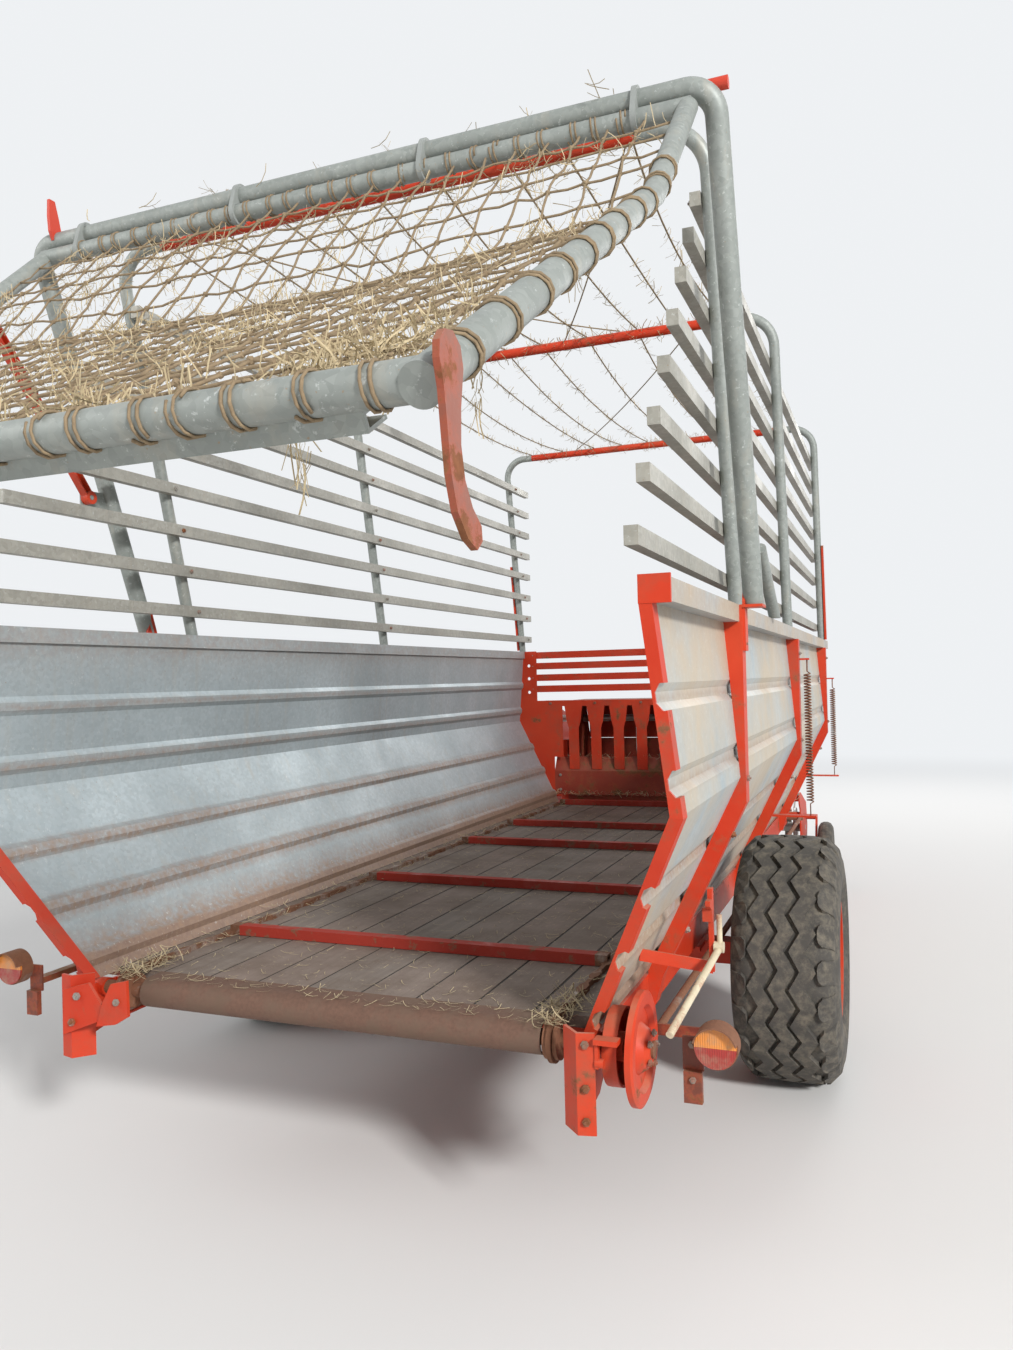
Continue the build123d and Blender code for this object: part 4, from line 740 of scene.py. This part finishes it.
def lashings():
    tube_rows, arm_x, jitter = 26, 1.016, 0.012
    pick = random.Random(8)
    spots = []
    for k in range(tube_rows):
        for (y, z), half in ((gate_hinge, 0.86), (gate_corner, 0.95)):
            x = half * (2 * k / (tube_rows - 1) - 1) + pick.uniform(-jitter, jitter)
            spots.append(((x, y, z), (pick.uniform(0, 6), 0, pick.uniform(-0.25, 0.25)), 0.97))
    for (ya, za), (yb, zb), count, first, last in (
        (gate_hinge, gate_bend, 2, 0.74, 0.92),
        (gate_bend, gate_corner, 9, 0.08, 0.92),
    ):
        steep = -atan2(zb - za, yb - ya)
        for k in range(count):
            t = first + (last - first) * k / (count - 1) + pick.uniform(-jitter, jitter)
            for x in (-arm_x, arm_x):
                place = (x, ya + (yb - ya) * t, za + (zb - za) * t)
                turn = (0, steep + pick.uniform(-0.2, 0.2), pi / 2 + pick.uniform(-0.2, 0.2))
                spots.append((place, turn, 1.0))
    return spread("net_lashings", lashing_unit(), rope_fibre, spots)


laced = lashings()
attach(laced, "tailgate")


# Tailgate latches, gearbox, guard and lamps. The latches are flat steel hooks painted red, the gearbox is
# cast and painted grey, with a black plastic guard over the drive stub, and the lamps have ribbed amber and
# red lenses in rusty cups.
def guard_plastic():
    made, tree, shader = new_finish("guard_plastic")
    tone = mixed(tree, clouds(tree, own_place(tree), 20), (0.012, 0.012, 0.013), (0.05, 0.048, 0.045))
    tree.links.new(tone, shader.inputs["Base Color"])
    shader.inputs["Roughness"].default_value = 0.6
    return made


def lens(name, deep, bright):
    made, tree, shader = new_finish(name)
    place = own_place(tree)
    dirt = graded(tree, clouds(tree, place, 40, 6), (0.45, 0.0), (0.75, 0.6))
    colour = mixed(tree, clouds(tree, place, 12), deep, bright)
    tree.links.new(mixed(tree, dirt, colour, (0.30, 0.22, 0.14)), shader.inputs["Base Color"])
    shader.inputs["Roughness"].default_value = 0.22
    shader.inputs["Coat Weight"].default_value = 0.3
    ridges = node(tree, "TexWave", wave_type="BANDS", bands_direction="X")
    tree.links.new(place, ridges.inputs["Vector"])
    ridges.inputs["Scale"].default_value = 60
    relief(tree, shader, ridges.outputs[1], 0.4, 0.002)
    return made


dress(painted("latch_paint", (0.25, 0.052, 0.030), (0.23, 0.090, 0.058), 0.50), "gate_latches")
dress(painted("grey_enamel", (0.15, 0.16, 0.165), (0.21, 0.22, 0.22), 0.62), "gearbox")
dress(guard_plastic(), "input_guard")
dress(rusty_steel, "lamp_housings")
dress(lens("amber_lens", (0.55, 0.16, 0.02), (0.80, 0.30, 0.05)), "lamp_lenses_amber")
dress(lens("red_lens", (0.22, 0.010, 0.008), (0.42, 0.03, 0.02)), "lamp_lenses_red")


# Springs on the right wall. Two close-wound tension springs outside the second and third stanchions, each
# with a straight wire end to its hangers; bare steel wire gone to rust.
def coil_springs():
    spring_x, coil_radius, wire_radius, coil_pitch = 1.082, 0.0135, 0.0033, 0.0125
    end, plain, sides = 0.05, 0.06, 8
    vertices, faces = [], []
    for y, low, high in ((stanchion_places[1], 0.811, 1.490), (stanchion_places[2], 0.820, 1.393)):
        coiled = high - low - 2 * plain
        steps = int(coiled / coil_pitch) * sides
        points = [(spring_x, y, low), (spring_x, y, low + end)]
        for k in range(steps + 1):
            angle = tau * k / sides
            z = low + plain + coiled * k / steps
            points.append((spring_x + coil_radius * cos(angle), y + coil_radius * sin(angle), z))
        points += [(spring_x, y, high - end), (spring_x, y, high)]
        add_strand(vertices, faces, points, wire_radius, 4)
    return piece_of("coil_springs", vertices, faces, rusty_steel, True)


springs = coil_springs()
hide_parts("spring_pair")
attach(springs, "chassis")


# Tyres. A cross-ply implement carcass with three zigzag centre ribs and a row of shoulder blocks each side,
# moulded in one of black rubber, and grey-brown with dust.
wheel_x, wheel_y, wheel_z = 1.080, -1.0785, 0.425


def tyre_rubber():
    made, tree, shader = new_finish("tyre_rubber")
    place = own_place(tree)
    colour = mixed(tree, clouds(tree, place, 8, 7), (0.032, 0.030, 0.027), (0.085, 0.076, 0.064))
    dust = graded(tree, clouds(tree, place, 26, 8, 0.75), (0.45, 0.0), (0.75, 0.7))
    colour = mixed(tree, dust, colour, (0.24, 0.205, 0.15))
    tree.links.new(colour, shader.inputs["Base Color"])
    shader.inputs["Roughness"].default_value = 0.82
    relief(tree, shader, clouds(tree, place, 140, 4), 0.25, 0.001)
    return made


rubber = tyre_rubber()
dress(rubber, "gauge_wheels")


def crown_at(x):
    """How far out the tread's face is at a distance from the tyre's middle."""
    # Distance from the middle and radius there.
    line = ((0.0, 0.425), (0.099, 0.4225), (0.141, 0.4145), (0.165, 0.3725), (0.175, 0.31))
    for (xa, ra), (xb, rb) in zip(line, line[1:]):
        if abs(x) <= xb:
            return ra + (rb - ra) * (abs(x) - xa) / (xb - xa)
    return line[-1][1]


def carcass(name, middle):
    """Tyre body below the tread, turned about the axle."""
    # Distance from the middle and radius, from the bead out to the crown.
    half = [(0.148, 0.2165), (0.168, 0.250), (0.1715, 0.272), (0.1745, 0.276), (0.1745, 0.311),
            (0.170, 0.345), (0.161, 0.368), (0.142, 0.396), (0.100, 0.4065)]
    profile = [(-x, radius) for x, radius in half] + half[::-1]
    steps, count = 96, len(profile)
    vertices = [(middle[0] + x, middle[1] + r * sin(tau * k / steps), middle[2] + r * cos(tau * k / steps))
                for k in range(steps) for x, r in profile]
    faces = []
    for k in range(steps):
        here, there = k * count, (k + 1) % steps * count
        for m in range(count):
            after = (m + 1) % count
            faces.append((here + m, here + after, there + after, there + m))
    return piece_of(name, vertices, faces, rubber, True)


def raise_block(vertices, faces, pitch, edge, slope, depth):
    """Adds a block with its edge on the crown; slope is how much wider its foot is, and depth how deep."""
    start, count = len(vertices), len(edge)
    middle_x = sum(x for x, t in edge) / count
    middle_t = sum(t for x, t in edge) / count
    for grow, drop in ((1 + slope, depth), (1.0, 0.0)):
        for x, t in edge:
            wide_x = middle_x + (x - middle_x) * grow
            wide_t = middle_t + (t - middle_t) * grow if slope > 0.1 else t
            radius = crown_at(x) - drop
            vertices.append((wide_x, radius * sin(wide_t * pitch), radius * cos(wide_t * pitch)))
    top = start + count
    faces += [(start + k, start + (k + 1) % count, top + (k + 1) % count, top + k) for k in range(count)]
    faces.append(tuple(top + k for k in range(count)))


def tread_pitch(pitch):
    """One pitch of the tread: three zigzag ribs and a shoulder block each side."""
    rib_gap, half, wave = 0.066, 0.0245, 0.017
    vertices, faces = [], []
    for middle in (-rib_gap, 0.0, rib_gap):
        for ta, tb, wa, wb in ((-0.5, 0.0, -wave, wave), (0.0, 0.5, wave, -wave)):
            edge = [(middle - half + wa, ta), (middle + half + wa, ta),
                    (middle + half + wb, tb), (middle - half + wb, tb)]
            raise_block(vertices, faces, pitch, edge, 0.08, 0.019)
    # Distance from the middle and share of the pitch, along one half of a shoulder block.
    rear_half = [(0.112, -0.10), (0.116, -0.22), (0.126, -0.31), (0.160, -0.34)]
    block = rear_half + [(x, -t) for x, t in rear_half[::-1]]
    for side, shift in ((1, 0.0), (-1, 0.5)):
        edge = [(side * x, t + shift) for x, t in block][::side]
        raise_block(vertices, faces, pitch, edge, 0.14, 0.020)
    return piece_of("pitch_unit", vertices, faces, rubber)


def treaded_tyre(side, middle):
    count = 22
    body = carcass("tyre_carcass_" + side, middle)
    spots = [(middle, (tau * k / count, 0, 0), 1.0) for k in range(count)]
    tread = spread("tyre_tread_" + side, tread_pitch(tau / count), rubber, spots)
    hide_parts("tyre_" + side)
    for made in (body, tread):
        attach(made, "wheel_" + side)


treaded_tyre("right", (wheel_x, wheel_y, wheel_z))
treaded_tyre("left", (-wheel_x, wheel_y, wheel_z))


# Wheel nuts. Six zinc-plated hexagon nuts hold each rim's dished disc to its hub, with the studs' ends
# standing out of them.
def wheel_nuts(name, side, turn):
    count, ring_radius, disc_offset = 6, 0.092, 0.0115
    spots = []
    for angle in [tau * k / count for k in range(count)]:
        y, z = wheel_y + ring_radius * cos(angle), wheel_z + ring_radius * sin(angle)
        spots.append(((side * (wheel_x + disc_offset), y, z), (0, 0, turn), 1.3))
    nuts = spread("wheel_nuts_" + name, hexagon_head("nut_unit"), bolt_finish, spots)
    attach(nuts, "wheel_" + name)


wheel_nuts("right", 1, 0)
wheel_nuts("left", -1, pi)


# Hay and chaff. Dry stalks left in the wagon: trodden on the floor and in the chains, along the walls' feet,
# on the lips, and caught in the net's lower edge and in the roof twines.
def straw_finish():
    made, tree, shader = new_finish("straw")
    colour = mixed(tree, clouds(tree, own_place(tree), 30, 4), (0.30, 0.22, 0.12), (0.62, 0.52, 0.33))
    tree.links.new(colour, shader.inputs["Base Color"])
    shader.inputs["Roughness"].default_value = 0.9
    return made


straw = straw_finish()


def stalk_unit():
    """A bent flat stalk, 6 cm long."""
    half_width = 0.0011
    line = ((-0.030, 0.0, 0.004), (-0.010, 0.003, 0.0), (0.012, 0.001, 0.001), (0.030, -0.004, 0.007))
    vertices = []
    for x, y, z in line:
        vertices += [(x, y - half_width, z), (x, y + half_width, z)]
    return piece_of("stalk_unit", vertices, [(0, 1, 3, 2), (2, 3, 5, 4), (4, 5, 7, 6)], straw)


def strewn(name, body, seed, patches):
    """Stalks strewn in boxes; a patch is its low and high corner, a count, how steep and how long."""
    pick = random.Random(seed)
    spots = []
    for low, high, count, steep, long in patches:
        for _ in range(count):
            place = tuple(pick.uniform(a, b) for a, b in zip(low, high))
            turn = (pick.uniform(-0.5, 0.5), pick.uniform(-steep, steep), pick.uniform(0, tau))
            spots.append((place, turn, long * pick.uniform(0.5, 1.3)))
    made = spread(name, stalk_unit(), straw, spots)
    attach(made, body)


strewn("floor_hay", "chassis", 3, (
    ((-0.74, -2.40, 0.6015), (0.74, 1.55, 0.603), 1700, 0.05, 0.6),
    ((-0.74, -2.40, 0.6015), (-0.60, 1.60, 0.618), 420, 0.2, 0.9),
    ((0.60, -2.40, 0.6015), (0.74, 1.60, 0.618), 420, 0.2, 0.9),
    ((-0.68, -2.53, 0.60), (-0.60, -2.30, 0.628), 160, 0.6, 1.0),
    ((0.61, -2.53, 0.60), (0.69, -2.30, 0.628), 160, 0.6, 1.0),
    ((-0.56, -2.50, 0.601), (0.60, -2.42, 0.604), 120, 0.1, 0.7),
    ((-0.84, 1.66, 0.64), (0.84, 1.755, 0.66), 220, 0.5, 1.2),
    ((-0.70, 1.765, 0.885), (0.70, 1.83, 0.905), 160, 0.6, 1.1),
))
on_twines = [
    ((x - 0.005, y - 0.06, z - 0.011), (x + 0.005, y + 0.06, z + 0.006), 2 + 29 * index % 9, 0.9, 1.05)
    for index, (x, y, z) in enumerate(held_places)
]
on_crossbars = [((-0.80, y - 0.026, 2.902), (0.80, y + 0.026, 2.960), 520, 0.9, 1.1) for y in crossbar_places]
strewn("roof_hay", "chassis", 4, on_twines + on_crossbars)


def any_turn(pick, lean):
    return pick.uniform(-lean, lean), pick.uniform(-lean, lean), pick.uniform(0, tau)


def heaps(pick):
    """Hay that lies in heaps on the net, most of it at the lower edge."""
    spots = []
    for x, run, spread_x, spread_run, count in (
        (0.86, 1.66, 0.10, 0.10, 260), (0.45, 1.74, 0.16, 0.05, 130), (-0.10, 1.72, 0.20, 0.06, 150),
        (-0.62, 1.74, 0.16, 0.05, 110), (0.30, 1.05, 0.12, 0.10, 90), (-0.35, 0.60, 0.14, 0.10, 70),
    ):
        for _ in range(int(count * 1.6)):
            u = min(0.97, max(-0.97, x + pick.gauss(0, spread_x * 0.6)))
            point = gate_point(u, min(1.80, run + pick.gauss(0, spread_run * 0.6)))
            point.z += pick.uniform(-0.02, 0.02)
            spots.append((tuple(point), any_turn(pick, 1.2), pick.uniform(0.5, 1.2)))
    return spots


def clumps(pick):
    """Small clumps caught all over the net."""
    spots = []
    for _ in range(380):
        knot = gate_point(pick.uniform(-0.95, 0.95), pick.uniform(0.05, 1.78))
        for _ in range(pick.randint(4, 13)):
            place = knot + Vector((pick.gauss(0, 0.02), pick.gauss(0, 0.02), pick.uniform(-0.035, 0.015)))
            spots.append((tuple(place), any_turn(pick, 1.4), pick.uniform(0.4, 1.1)))
    return spots


def wisps(pick):
    """Wisps that hang from the net, thinner towards their ends."""
    spots = []
    for x, run, drop in (
        (0.88, 1.30, 0.20), (0.62, 0.80, 0.12), (0.30, 1.50, 0.10), (-0.20, 1.20, 0.10), (0.90, 0.75, 0.14),
        (-0.55, 0.90, 0.09), (-0.80, 1.55, 0.12), (0.10, 0.50, 0.08), (0.75, 1.62, 0.16),
    ):
        knot = gate_point(x, run)
        for _ in range(int(260 * drop)):
            below = drop * pick.random() ** 1.5
            width = 0.012 * (1 - 0.6 * below / drop)
            place = knot + Vector((pick.gauss(0, width), pick.gauss(0, width), -below))
            turn = (0, pi / 2 + pick.uniform(-0.5, 0.5), pick.uniform(0, tau))
            spots.append((tuple(place), turn, pick.uniform(0.5, 1.1)))
    return spots


def net_hay():
    pick = random.Random(6)
    spots = heaps(pick) + clumps(pick) + wisps(pick)
    made = spread("net_hay", stalk_unit(), straw, spots)
    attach(made, "tailgate")


net_hay()
